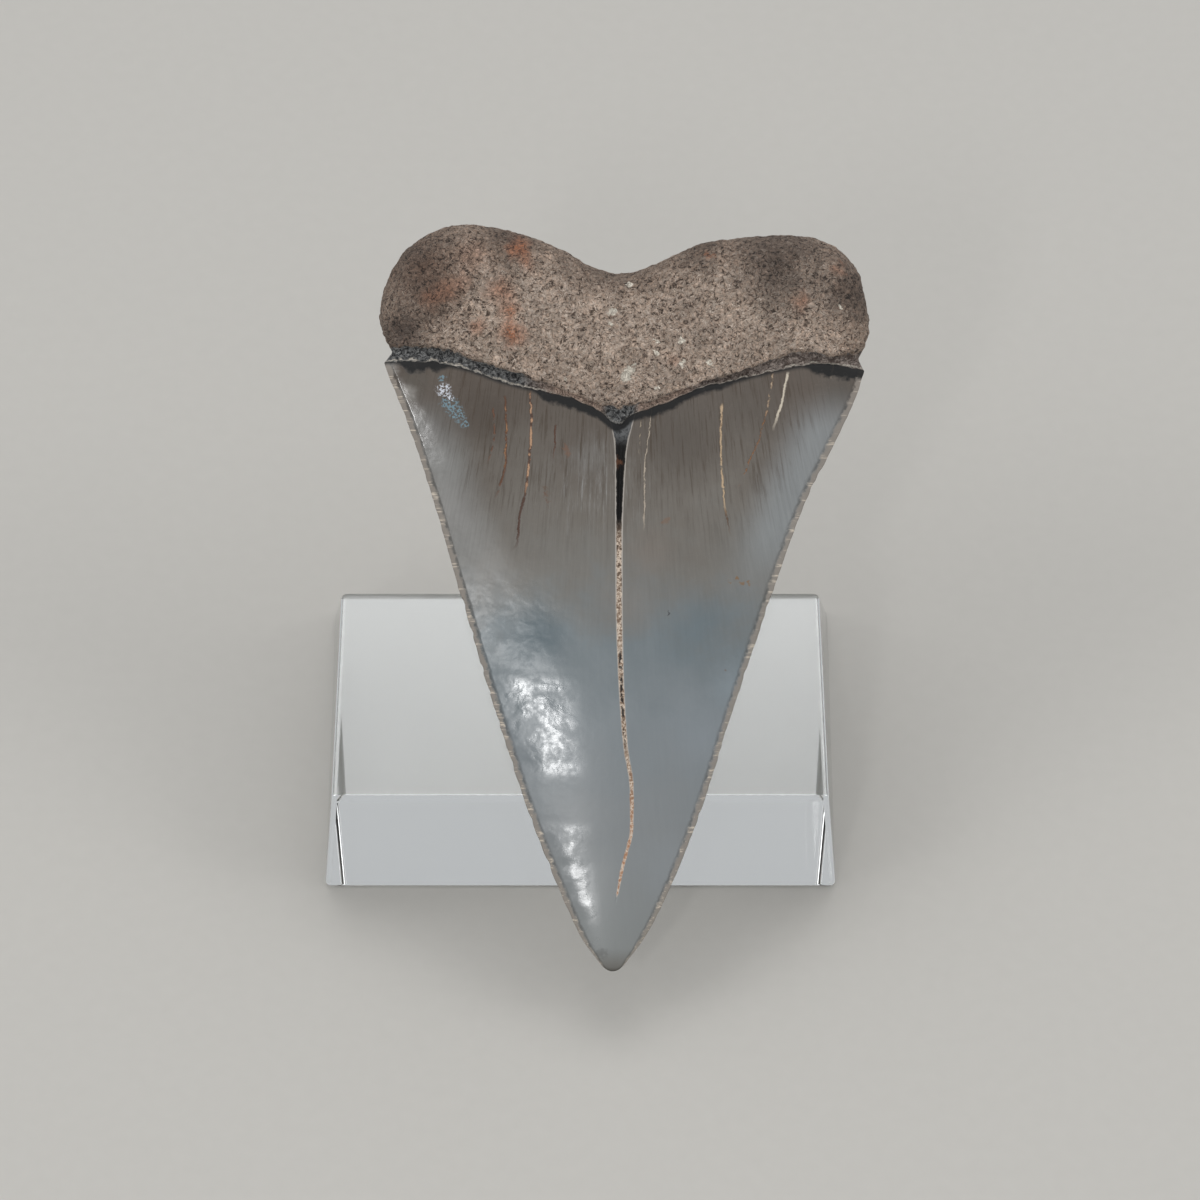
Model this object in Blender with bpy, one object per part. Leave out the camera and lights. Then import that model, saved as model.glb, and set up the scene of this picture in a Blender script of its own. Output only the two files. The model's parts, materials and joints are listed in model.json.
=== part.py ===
# Fossil mako shark tooth leaning on a clear acrylic wedge, held there by a dab of putty.
# Tooth frame, in millimetres: x across, s up from the tip to the root, n out of the flat labial face.
# World frame, in metres: +Z up, the labial face looks to -Y and up.

import math

import bmesh
import bpy
from mathutils import Matrix, Vector, noise
from mathutils.bvhtree import BVHTree

MM = 0.001

# Tooth, outline of the labial face in (x, s)
CROWN_LEFT = [
    (-1.85, 0.85), (-3.2, 2.7), (-4.8, 6.1), (-7.55, 12.9), (-10.9, 23.1), (-13.9, 33.2),
    (-15.85, 40.0), (-18.1, 46.8), (-19.4, 50.0), (-20.0, 51.6),
]
CROWN_RIGHT = [
    (0.6, 0.85), (2.0, 2.7), (3.8, 6.1), (6.6, 12.9), (9.9, 23.1), (13.3, 33.2),
    (15.8, 40.0), (17.5, 43.4), (20.0, 48.7), (20.7, 50.9),
]
NOTCH_LEFT = (-19.3, 52.5)
NOTCH_RIGHT = (20.2, 51.9)
ROOT_LEFT = [(-19.6, 53.1), (-20.35, 54.8), (-20.4, 56.4), (-19.8, 58.8), (-19.0, 60.2)]
ROOT_RIGHT = [(20.6, 52.8), (21.2, 54.6), (21.0, 56.8), (20.35, 59.3), (19.5, 60.5)]
ROOT_TOP = [
    (-19.0, 60.2), (-18.1, 61.5), (-15.8, 62.9), (-12.7, 63.5), (-7.6, 62.4), (-5.1, 61.4),
    (-2.5, 59.9), (0.0, 59.35), (2.5, 59.9), (5.1, 61.1), (7.6, 62.0), (14.0, 62.6),
    (16.5, 62.3), (18.3, 61.6), (19.5, 60.5),
]
ENAMEL_EDGE = [
    (-20.0, 51.6), (-16.2, 51.6), (-13.3, 51.1), (-9.5, 49.8), (-4.5, 48.7), (-1.9, 47.6),
    (-0.25, 46.3), (1.0, 47.2), (4.2, 48.3), (6.5, 49.4), (10.1, 50.2), (14.2, 51.1),
    (17.4, 51.5), (20.7, 50.9),
]
ROOT_EDGE = [
    (-19.6, 53.1), (-15.0, 52.9), (-12.1, 51.9), (-9.2, 51.0), (-4.0, 49.1), (-1.6, 48.2),
    (1.9, 48.3), (4.2, 49.1), (7.1, 50.0), (10.1, 50.9), (13.0, 52.0), (15.3, 52.7),
    (18.2, 52.3), (20.6, 52.8),
]
TIP_ROUND = 0.85

# Tooth, depth behind the labial face along its middle, in (s, thickness)
CROWN_THICKNESS = [
    (0.0, 0.5), (2.0, 1.3), (5.0, 2.3), (10.0, 3.5), (14.6, 4.6), (23.5, 6.1), (32.0, 7.3),
    (40.0, 8.3), (48.0, 9.4), (64.0, 10.0),
]
CROWN_FULLNESS = 2.2
RIM_WIDTH = 0.6
RIM_DROP = 0.35
LOBE_THICKNESS = 6.8
BULGE = 5.2
BULGE_WIDTH = 10.0
BULGE_CENTRE = 52.0
BULGE_HEIGHT = 6.5
ROOT_EDGE_DEPTH = 2.8
ROOT_FRONT_ROUND = 2.4
ROOT_BACK_ROUND = 5.0
BAND_DEPTH = 0.5

# Tooth, relief of the labial face
BOW = 0.8
BOW_LENGTH = 44.0
BASIN_DEPTH = 0.7
BASIN_WIDTH = 8.5
SHOULDER_FLARE = 0.6
ROOT_PROUD = 0.3
ROOT_SWELL = 0.6
ROOT_LUMP = 0.22
ROOT_LUMP_SIZE = 3.0

# Tooth, the open crack down the middle of the labial enamel
CRACK_HALF_WIDTH = 0.4
CRACK_DEPTH = 0.6
CRACK_FOOT = 38.3

COLUMNS = 28
CROWN_ROWS = 34
ROOT_ROWS = 12

# Stand
BLOCK_WIDTH = 44.5
BLOCK_DEPTH = 33.0
BLOCK_FRONT_HEIGHT = 11.8
BLOCK_TOP_HEIGHT = 21.9
BLOCK_TOP_DEPTH = 14.7
BLOCK_TAPER = 1.65
BLOCK_EDGE = 0.5

# How the tooth sits
TILT = math.radians(43.0)
TOOTH_OFF_CENTRE = 3.4
CONTACT_ON_TOOTH = 23.5
WAX_THICKNESS = 1.2
WAX_HALF_WIDTH = 5.0
WAX_HALF_LENGTH = 3.6
WAX_SIDES = 24
WAX_RINGS = 10
WAX_SQUARENESS = 0.35
CLEARANCE = 0.3


def lerp(a, b, t):
    return a + (b - a) * t


def ramp_up(start, end, value):
    t = min(max((value - start) / (end - start), 0.0), 1.0)
    return t * t * (3.0 - 2.0 * t)


def height_at(points, x):
    """Smooth curve through points that run left to right, read at x."""
    last = len(points) - 1
    i = 0
    while i < last - 1 and x > points[i + 1][0]:
        i += 1
    (x0, y0), (x1, y1) = points[i], points[i + 1]
    before = points[max(i - 1, 0)]
    after = points[min(i + 2, last)]
    slope0 = (y1 - before[1]) / (x1 - before[0])
    slope1 = (after[1] - y0) / (after[0] - x0)
    width = x1 - x0
    t = min(max((x - x0) / width, 0.0), 1.0)
    rise = (3.0 - 2.0 * t) * t * t
    return (
        lerp(y0, y1, rise)
        + slope0 * width * t * (1.0 - t) ** 2
        - slope1 * width * t * t * (1.0 - t)
    )


def along(points, fraction):
    """Point at a fraction of the length of a polyline, eased through its corners."""
    lengths = [0.0]
    for a, b in zip(points, points[1:]):
        lengths.append(lengths[-1] + math.dist(a, b))
    xs = [(length, p[0]) for length, p in zip(lengths, points)]
    ss = [(length, p[1]) for length, p in zip(lengths, points)]
    reach = fraction * lengths[-1]
    return height_at(xs, reach), height_at(ss, reach)


def row_ends(row):
    """Left and right ends of a row of the tooth's grid, and how far up the root it is."""
    if row <= CROWN_ROWS:
        f = row / CROWN_ROWS
        return along(CROWN_LEFT, f), along(CROWN_RIGHT, f), 0.0
    if row == CROWN_ROWS + 1:
        return NOTCH_LEFT, NOTCH_RIGHT, 0.0
    w = math.sin(math.pi / 2 * (row - CROWN_ROWS - 2) / ROOT_ROWS)
    return along(ROOT_LEFT, w), along(ROOT_RIGHT, w), w


def sag(curve, left, right, t):
    """How far a boundary curve lies above the straight line between its ends."""
    x = lerp(left[0], right[0], t)
    return height_at(curve, x) - lerp(left[1], right[1], t)


def grid_point(row, t):
    """Position (x, s) of a grid point, t from 0 at the left end of its row to 1."""
    left, right, w = row_ends(row)
    enamel = sag(ENAMEL_EDGE, CROWN_LEFT[-1], CROWN_RIGHT[-1], t)
    root = sag(ROOT_EDGE, ROOT_LEFT[0], ROOT_RIGHT[0], t)
    if row <= CROWN_ROWS:
        f = row / CROWN_ROWS
        tip = -TIP_ROUND * 4.0 * t * (1.0 - t)
        bend = enamel * f**2.5 + tip * (1.0 - f) ** 8
    elif row == CROWN_ROWS + 1:
        bend = (enamel + root) / 2
    else:
        top = sag(ROOT_TOP, ROOT_LEFT[-1], ROOT_RIGHT[-1], t)
        bend = lerp(root, top, w)
    return lerp(left[0], right[0], t), lerp(left[1], right[1], t) + bend


def crown_relief(x, s, u):
    """Height of the labial enamel over the flat reference plane."""
    bow = BOW * math.sin(math.pi * min(s / BOW_LENGTH, 1.0)) * (1.0 - u * u)
    basin = BASIN_DEPTH * math.exp(-((x / BASIN_WIDTH) ** 2)) * ramp_up(34.0, 46.0, s)
    flare = SHOULDER_FLARE * ramp_up(0.45, 1.0, abs(u)) * ramp_up(40.0, 50.0, s)
    return bow - basin + flare


def lump(x, s, side):
    """Slow unevenness of the root's surface."""
    place = Vector((x / ROOT_LUMP_SIZE, s / ROOT_LUMP_SIZE, 7.0 * side))
    return ROOT_LUMP * noise.noise(place)


def rounding(side_distance, top_distance, radius):
    """0 on the root's outline, 1 past a quarter ellipse of the given radius."""
    a = min(max(1.0 - side_distance / radius, 0.0), 1.0)
    b = min(max(1.0 - top_distance / radius, 0.0), 1.0)
    return math.sqrt((1.0 - a * a) * (1.0 - b * b))


def root_thickness(x, s):
    """Depth of the root behind the reference plane, with its lingual bulge."""
    across = math.exp(-((x / BULGE_WIDTH) ** 2))
    up = math.exp(-(((s - BULGE_CENTRE) / BULGE_HEIGHT) ** 2))
    return LOBE_THICKNESS + BULGE * across * up


def crack_drop(x, s, middle):
    """Depth of the crack, a V-shaped groove down the middle column of the grid."""
    across = max(1.0 - abs(x - middle) / CRACK_HALF_WIDTH, 0.0)
    return CRACK_DEPTH * across * ramp_up(CRACK_FOOT, CRACK_FOOT + 2.0, s)


def tooth_depths(row, t):
    """Labial and lingual n of a grid point, which are the same on the outline."""
    left, right, w = row_ends(row)
    x, s = grid_point(row, t)
    u = 2.0 * t - 1.0
    from_side = (1.0 - abs(u)) * (right[0] - left[0]) / 2
    from_top = height_at(ROOT_TOP, x) - s
    relief = crown_relief(x, s, u)
    rim = RIM_DROP * max(1.0 - from_side / RIM_WIDTH, 0.0)
    if row <= CROWN_ROWS:
        front = relief - rim - crack_drop(x, s, (left[0] + right[0]) / 2)
    elif row == CROWN_ROWS + 1:
        front = relief - rim - BAND_DEPTH
    else:
        edge = lerp(relief - BAND_DEPTH, -ROOT_EDGE_DEPTH, ramp_up(0.0, 0.5, w))
        face = relief * (1.0 - w) + ROOT_PROUD + ROOT_SWELL * math.sin(math.pi * w)
        shape = rounding(from_side, from_top, ROOT_FRONT_ROUND)
        front = lerp(edge, face + lump(x, s, 0), shape)
    if row == 0 or w == 1.0 or t in (0.0, 1.0):
        return front, front
    fill = 1.0 - abs(u) ** CROWN_FULLNESS
    crown_back = lerp(relief - rim, -height_at(CROWN_THICKNESS, s), fill)
    shape = rounding(from_side, from_top, ROOT_BACK_ROUND)
    root_back = lerp(-ROOT_EDGE_DEPTH, lump(x, s, 1) - root_thickness(x, s), shape)
    over = ramp_up(-3.0, 3.5, s - height_at(ENAMEL_EDGE, x))
    return front, lerp(crown_back, root_back, over)


def make_material(name, colour, roughness, metallic=0.0, transmission=0.0, ior=1.5):
    material = bpy.data.materials.new(name)
    material.use_nodes = True
    shader = material.node_tree.nodes["Principled BSDF"]
    shader.inputs["Base Color"].default_value = (*colour, 1.0)
    shader.inputs["Roughness"].default_value = roughness
    shader.inputs["Metallic"].default_value = metallic
    shader.inputs["Transmission Weight"].default_value = transmission
    shader.inputs["IOR"].default_value = ior
    return material


def finish_object(name, bm, material):
    bmesh.ops.recalc_face_normals(bm, faces=bm.faces)
    mesh = bpy.data.meshes.new(name)
    bm.to_mesh(mesh)
    bm.free()
    mesh.materials.append(material)
    item = bpy.data.objects.new(name, mesh)
    bpy.context.collection.objects.link(item)
    return item


def column_places(row):
    """Where the columns cross a row: closer at its ends, with two more beside the crack."""
    left, right, w = row_ends(row)
    places = [(1.0 - math.cos(math.pi * k / COLUMNS)) / 2 for k in range(COLUMNS + 1)]
    beside = CRACK_HALF_WIDTH / (right[0] - left[0])
    if row > CROWN_ROWS or left[1] < CRACK_FOOT - 2.0:
        beside = (places[COLUMNS // 2 + 1] - 0.5) / 2
    return sorted(places + [0.5 - beside, 0.5 + beside])


def add_sheet(bm, side):
    """One face of the tooth, 0 labial or 1 lingual, as a grid pulled to its shape."""
    rows = CROWN_ROWS + 2 + ROOT_ROWS
    columns = COLUMNS + 2
    grid = bmesh.ops.create_grid(bm, x_segments=columns, y_segments=rows, size=1.0)
    for vert in grid["verts"]:
        column = round((vert.co.x + 1.0) / 2 * columns)
        row = round((vert.co.y + 1.0) / 2 * rows)
        t = column_places(row)[column]
        x, s = grid_point(row, t)
        vert.co = Vector((x, s, tooth_depths(row, t)[side])) * MM


def make_tooth():
    bm = bmesh.new()
    add_sheet(bm, 0)
    add_sheet(bm, 1)
    bmesh.ops.remove_doubles(bm, verts=bm.verts, dist=0.002 * MM)
    bmesh.ops.triangulate(bm, faces=bm.faces, quad_method="SHORT_EDGE")
    tooth = finish_object("tooth", bm, make_material("fossil_tooth", (0.22, 0.205, 0.19), 0.35))
    tooth.data.shade_smooth()
    tooth.data.set_sharp_from_angle(angle=math.radians(40.0))
    return tooth


def make_block():
    """Wedge with an upright front, a slope that carries the tooth, and a slanting back."""
    profile = [
        (0.0, 0.0),
        (0.0, BLOCK_FRONT_HEIGHT),
        (BLOCK_TOP_DEPTH, BLOCK_TOP_HEIGHT),
        (BLOCK_DEPTH, 0.0),
    ]
    bm = bmesh.new()
    verts = [bm.verts.new((0.0, y * MM, z * MM)) for y, z in profile]
    side = bm.faces.new(verts)
    swept = bmesh.ops.extrude_face_region(bm, geom=[side])
    far = [item for item in swept["geom"] if isinstance(item, bmesh.types.BMVert)]
    for sign, group in ((-1.0, verts), (1.0, far)):
        for vert in group:
            narrowing = BLOCK_TAPER * MM * vert.co.z / (BLOCK_TOP_HEIGHT * MM)
            vert.co.x = sign * (BLOCK_WIDTH / 2 * MM - narrowing)
    clear = make_material("clear_acrylic", (0.97, 0.98, 0.98), 0.03, transmission=1.0, ior=1.49)
    block = finish_object("display_block", bm, clear)
    bevel = block.modifiers.new("polished edges", "BEVEL")
    bevel.width = BLOCK_EDGE * MM
    bevel.segments = 2
    bevel.limit_method = "ANGLE"
    return block


def slope_frame():
    """Middle of the block's slope, and its directions along and out of the slope."""
    rise = BLOCK_TOP_HEIGHT - BLOCK_FRONT_HEIGHT
    angle = math.atan2(rise, BLOCK_TOP_DEPTH)
    middle = Vector((0.0, BLOCK_TOP_DEPTH / 2, BLOCK_FRONT_HEIGHT + rise / 2)) * MM
    uphill = Vector((0.0, math.cos(angle), math.sin(angle)))
    out = Vector((0.0, -math.sin(angle), math.cos(angle)))
    return middle, uphill, out


def seat_tooth(tooth):
    """Leans the tooth back so that its lingual face lies over the slope's middle."""
    middle, _, out = slope_frame()
    depth = height_at(CROWN_THICKNESS, CONTACT_ON_TOOTH)
    touching = Matrix.Rotation(TILT, 3, "X") @ Vector((0.0, CONTACT_ON_TOOTH, -depth)) * MM
    over_slope = middle + out * (WAX_THICKNESS + 2.0 * CLEARANCE) * MM
    tooth.rotation_euler.x = TILT
    tooth.location = over_slope - touching
    tooth.location.x = TOOTH_OFF_CENTRE * MM


def make_wax(tooth):
    """Dab of putty that fills the space between the slope and the tooth's round back."""
    bpy.context.view_layer.update()
    bm = bmesh.new()
    bm.from_mesh(tooth.data)
    bm.transform(tooth.matrix_world)
    tooth_back = BVHTree.FromBMesh(bm)
    bm.free()
    middle, uphill, out = slope_frame()
    bm = bmesh.new()
    ball = bmesh.ops.create_uvsphere(
        bm, u_segments=WAX_SIDES, v_segments=WAX_RINGS, radius=1.0
    )
    for vert in ball["verts"]:
        foot = middle + Vector((TOOTH_OFF_CENTRE + WAX_HALF_WIDTH * vert.co.x, 0.0, 0.0)) * MM
        foot += uphill * WAX_HALF_LENGTH * vert.co.y * MM
        room = (tooth_back.ray_cast(foot, out)[0] - foot).length
        level = math.copysign(abs(vert.co.z) ** WAX_SQUARENESS, vert.co.z)
        height = lerp(CLEARANCE * MM, room - CLEARANCE * MM, (1.0 + level) / 2)
        vert.co = foot + out * height
    wax = finish_object("mounting_wax", bm, make_material("putty", (0.62, 0.60, 0.54), 0.6))
    wax.data.shade_smooth()
    return wax


def stand_on_origin(items):
    """Parents everything to an empty that puts the origin under the middle of the whole."""
    bpy.context.view_layer.update()
    corners = [item.matrix_world @ v.co for item in items for v in item.data.vertices]
    low = [min(c[i] for c in corners) for i in range(3)]
    high = [max(c[i] for c in corners) for i in range(3)]
    base = bpy.data.objects.new("base_centre", None)
    base.location = (-(low[0] + high[0]) / 2, -(low[1] + high[1]) / 2, -low[2])
    bpy.context.collection.objects.link(base)
    for item in items:
        item.parent = base


for old in list(bpy.data.objects):
    bpy.data.objects.remove(old, do_unlink=True)

block_item = make_block()
tooth_item = make_tooth()
seat_tooth(tooth_item)
wax_item = make_wax(tooth_item)
stand_on_origin([block_item, tooth_item, wax_item])
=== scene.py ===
# Fossil mako shark tooth leaning on a clear acrylic wedge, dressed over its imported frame
import json
import math
from functools import partial
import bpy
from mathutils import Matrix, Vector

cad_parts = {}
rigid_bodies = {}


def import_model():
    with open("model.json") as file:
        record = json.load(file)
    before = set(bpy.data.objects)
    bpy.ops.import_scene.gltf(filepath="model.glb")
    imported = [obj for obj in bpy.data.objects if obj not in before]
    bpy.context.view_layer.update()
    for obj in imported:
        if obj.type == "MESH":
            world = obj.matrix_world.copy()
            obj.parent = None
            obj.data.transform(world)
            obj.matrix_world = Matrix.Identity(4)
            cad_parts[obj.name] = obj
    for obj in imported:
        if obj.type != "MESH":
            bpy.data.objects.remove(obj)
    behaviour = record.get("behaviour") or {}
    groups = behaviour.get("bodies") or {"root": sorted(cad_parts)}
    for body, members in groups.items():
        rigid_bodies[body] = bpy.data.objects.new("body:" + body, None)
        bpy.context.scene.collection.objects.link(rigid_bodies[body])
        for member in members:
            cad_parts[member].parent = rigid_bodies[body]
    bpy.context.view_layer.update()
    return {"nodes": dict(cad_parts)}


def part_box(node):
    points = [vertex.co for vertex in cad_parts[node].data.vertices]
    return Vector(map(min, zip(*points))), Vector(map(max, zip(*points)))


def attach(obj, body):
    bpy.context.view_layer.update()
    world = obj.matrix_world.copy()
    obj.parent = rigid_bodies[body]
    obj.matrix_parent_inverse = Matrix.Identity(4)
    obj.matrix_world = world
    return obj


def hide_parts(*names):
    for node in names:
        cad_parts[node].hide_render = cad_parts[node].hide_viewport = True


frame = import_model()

from types import SimpleNamespace

import bpy
import numpy as np
from mathutils import Matrix, Vector, noise
from mathutils.bvhtree import BVHTree

mm = 0.001


def deselectAll():
    for item in bpy.context.view_layer.objects:
        item.select_set(False)


def makeActive(item):
    deselectAll()
    item.select_set(True)
    bpy.context.view_layer.objects.active = item


def applyModifiers(item):
    makeActive(item)
    for modifier in list(item.modifiers):
        bpy.ops.object.modifier_apply(modifier=modifier.name)


def curveAt(points, x):  # smooth curve through points that run left to right, the CAD's own rule
    px, py = np.array(points, float).T
    slope = np.empty(len(px))
    slope[1:-1] = (py[2:] - py[:-2]) / (px[2:] - px[:-2])
    slope[0] = (py[1] - py[0]) / (px[1] - px[0])
    slope[-1] = (py[-1] - py[-2]) / (px[-1] - px[-2])
    i = np.clip(np.searchsorted(px, x) - 1, 0, len(px) - 2)
    width = px[i + 1] - px[i]
    t = np.clip((x - px[i]) / width, 0, 1)
    rise = (3 - 2 * t) * t * t
    bend = slope[i] * t * (1 - t) ** 2 - slope[i + 1] * t * t * (1 - t)
    return py[i] + (py[i + 1] - py[i]) * rise + bend * width


def alongCurve(points, fraction):  # x and s at fractions of a curve's length
    steps = [math.dist(a, b) for a, b in zip(points, points[1:])]
    lengths = np.concatenate([[0], np.cumsum(steps)])
    x = curveAt([(d, p[0]) for d, p in zip(lengths, points)], fraction * lengths[-1])
    s = curveAt([(d, p[1]) for d, p in zip(lengths, points)], fraction * lengths[-1])
    return x, s


def easeStep(start, end, value):
    t = np.clip((value - start) / (end - start), 0, 1)
    return t * t * (3 - 2 * t)


def noiseAt(x, s, size, seed):  # Perlin noise over arrays, its lumps about size mm across
    pairs = zip(np.ravel(x) / size, np.ravel(s) / size)
    return np.reshape([noise.noise((a, b, seed)) for a, b in pairs], np.shape(x))


def hexColour(code):  # sRGB hex to the linear colour that a shader wants
    parts = [int(code[i : i + 2], 16) / 255 for i in (1, 3, 5)]
    return tuple(c / 12.92 if c <= 0.04045 else ((c + 0.055) / 1.055) ** 2.4 for c in parts) + (1,)


def fillInputs(node, inputs):  # values, hex colours and links, a node standing for its output in use
    for socket, value in inputs.items():
        if isinstance(socket, tuple):  # several sockets set from one row of values
            fillInputs(node, dict(zip(socket, value)))
            continue
        if isinstance(value, bpy.types.Node):
            value = next(output for output in value.outputs if output.enabled)
        if isinstance(value, bpy.types.NodeSocket):
            node.id_data.links.new(value, node.inputs[socket])
        else:
            node.inputs[socket].default_value = hexColour(value) if isinstance(value, str) else value


# Sockets by number. Map Range: 0 value, 1 and 2 from, 3 and 4 to. Mix: 0 factor, 6 and 7 the colours
def addNode(nodes, kind, inputs=None, **settings):  # a node with its settings, values and links
    node = nodes.new("ShaderNode" + kind)
    for name, value in settings.items():
        setattr(node, name, value)
    fillInputs(node, inputs or {})
    return node


def bendCurve(node, spots):  # points of a Float Curve, left to right from 0 to 1
    points = node.mapping.curves[0].points
    points[0].location = spots[0]
    points[-1].location = spots[-1]
    for spot in spots[1:-1]:
        points.new(*spot)
    node.mapping.update()


def setTones(node, tones):  # stops of a Color Ramp, as position and hex colour
    stops = node.color_ramp.elements
    while len(stops) < len(tones):
        stops.new(0.5)
    for stop, (place, code) in zip(stops, tones):
        stop.position = place
        stop.color = hexColour(code)


def newMaterial(name):  # with its own add, for nodes in its tree, and its shader
    material = bpy.data.materials.new(name)
    material.use_nodes = True
    nodes = material.node_tree.nodes
    return material, partial(addNode, nodes), nodes["Principled BSDF"]


def paint(piece, material):
    piece.data.materials.clear()
    piece.data.materials.append(material)


# Where things stand, from the CAD frame and the same driving sizes as the CAD's
blockLow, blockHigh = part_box("display_block")
stand = {
    "width": 44.5,
    "depth": 33.0,
    "frontHeight": 11.8,
    "topHeight": 21.9,
    "topDepth": 14.7,
    "taper": 1.65,  # each side leans in by this much up to the top
    "edge": 0.5,
    "airGap": 0.06,  # air under the block, so that light passes out of its underside
    "frontY": blockLow[1] / mm,
    "middleX": (blockLow[0] + blockHigh[0]) / 2 / mm,
}
seat = {
    "tilt": math.radians(43.0),  # labial face from level
    "offCentre": 3.4,
    "contact": 23.5,  # mm up the tooth that lie over the slope's middle
    "contactDepth": 6.1,
    "puttyThickness": 1.2,
    "clearance": 0.3,
}
slopeRise = stand["topHeight"] - stand["frontHeight"]
slopeAngle = math.atan2(slopeRise, stand["topDepth"])
slopeMiddle = Vector((
    stand["middleX"],
    stand["frontY"] + stand["topDepth"] / 2,
    stand["frontHeight"] + slopeRise / 2,
))
slopeUphill = Vector((0, math.cos(slopeAngle), math.sin(slopeAngle)))
slopeOut = Vector((0, -math.sin(slopeAngle), math.cos(slopeAngle)))
toothTurn = Matrix.Rotation(seat["tilt"], 3, "X")
toothPlace = (
    slopeMiddle
    + slopeOut * (seat["puttyThickness"] + 2 * seat["clearance"])
    - toothTurn @ Vector((0, seat["contact"], -seat["contactDepth"]))
)
toothPlace.x = stand["middleX"] + seat["offCentre"]
print("frame read, tooth's tip plane at", [round(c, 2) for c in toothPlace], "mm")

# Tooth: x across, s up from the tip, n out of the labial face, all in mm
outline = {
    "crownLeft": [
        (-1.85, 0.85), (-3.2, 2.7), (-4.8, 6.1), (-7.55, 12.9), (-10.9, 23.1), (-13.9, 33.2),
        (-15.85, 40.0), (-18.1, 46.8), (-19.4, 50.0), (-20.0, 51.6),
    ],
    "crownRight": [
        (0.6, 0.85), (2.0, 2.7), (3.8, 6.1), (6.6, 12.9), (9.9, 23.1), (13.3, 33.2),
        (15.8, 40.0), (17.5, 43.4), (20.0, 48.7), (20.7, 50.9),
    ],
    "notchLeft": (-19.3, 52.5),
    "notchRight": (20.2, 51.9),
    "rootLeft": [(-19.6, 53.1), (-20.35, 54.8), (-20.4, 56.4), (-19.8, 58.8), (-19.0, 60.2)],
    "rootRight": [(20.6, 52.8), (21.2, 54.6), (21.0, 56.8), (20.35, 59.3), (19.5, 60.5)],
    "rootTop": [
        (-19.0, 60.2), (-18.1, 61.5), (-15.8, 62.9), (-12.7, 63.5), (-7.6, 62.4), (-5.1, 61.4),
        (-2.5, 59.9), (0.0, 59.35), (2.5, 59.9), (5.1, 61.1), (7.6, 62.0), (14.0, 62.6),
        (16.5, 62.3), (18.3, 61.6), (19.5, 60.5),
    ],
    "enamelEdge": [
        (-20.0, 51.6), (-16.2, 51.6), (-13.3, 51.1), (-9.5, 49.8), (-4.5, 48.7), (-1.9, 47.6),
        (-0.25, 46.3), (1.0, 47.2), (4.2, 48.3), (6.5, 49.4), (10.1, 50.2), (14.2, 51.1),
        (17.4, 51.5), (20.7, 50.9),
    ],
    "rootEdge": [
        (-19.6, 53.1), (-15.0, 52.9), (-12.1, 51.9), (-9.2, 51.0), (-4.0, 49.1), (-1.6, 48.2),
        (1.9, 48.3), (4.2, 49.1), (7.1, 50.0), (10.1, 50.9), (13.0, 52.0), (15.3, 52.7),
        (18.2, 52.3), (20.6, 52.8),
    ],
    "tipRound": 0.85,
    "edgeBend": 2.5,  # how late up the blade the rows take on the bend of the enamel's edge
    "tipBend": 8,  # and how soon they lose that of the tip
}
body = {
    "thickness": [  # behind the labial face along the middle, by s
        (0.0, 0.5), (2.0, 1.3), (5.0, 2.3), (10.0, 3.5), (14.6, 4.6), (23.5, 6.1), (32.0, 7.3),
        (40.0, 8.3), (48.0, 9.4), (64.0, 10.0),
    ],
    "fullness": 2.2,
    "rimWidth": 0.6,
    "rimDrop": 0.35,
    "lobeThickness": 6.8,
    "bulge": 5.2,
    "bulgeWidth": 10.0,
    "bulgeCentre": 52.0,
    "bulgeHeight": 6.5,
    "rootEdgeDepth": 2.8,
    "rootFrontRound": 2.4,
    "rootBackRound": 5.0,
    "bandDepth": 0.5,
    "bandProfile": [(0.0, 0.0), (0.12, -0.4), (0.5, -0.5), (0.85, -0.25), (1.0, 0.3)],
    "ledgeFill": 0.8,  # how much of the band's hollow the tan ledge fills, by mm from the middle
    "ledgeInner": (0.9, 1.6),
    "ledgeOuter": (5.5, 8.5),
    "bow": [  # how far the labial face swells out, by s
        (0.0, 0.0), (2.0, 0.24), (5.0, 0.42), (9.0, 0.52), (14.0, 0.68), (22.0, 0.8), (33.0, 0.57),
        (44.0, 0.0),
    ],
    "basinDepth": 0.7,
    "basinWidth": 8.5,
    "basinStart": (34.0, 46.0),  # s from which it deepens, and s from which it is full
    "shoulderFlare": 0.6,
    "flareStart": (38.0, 48.0),
    "flareReach": (0.45, 1.0),  # part of the way out from the middle
    "ridgeHeight": 0.24,  # a soft ridge that runs down from the left shoulder beside the basin
    "ridgePlace": [(34.0, 0.66), (38.3, 0.72), (44.3, 0.8), (51.5, 0.92)],
    "ridgeWidth": 0.14,
    "ridgeStart": (32.0, 41.0),
    "waveHeight": 0.035,
    "waveSize": 3.2,
    "waveStart": (0.0, 4.0),
    "rootProud": 0.3,
    "rootSwell": 0.6,
    "rootLump": 0.22,
    "rootLumpSize": 3.0,
    "rootTurn": (0.0, 0.5),  # part of the root's rows in which its edge falls back
    "backJoin": (-3.0, 3.5),  # mm past the enamel's edge over which the back turns from crown to root
}
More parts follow.
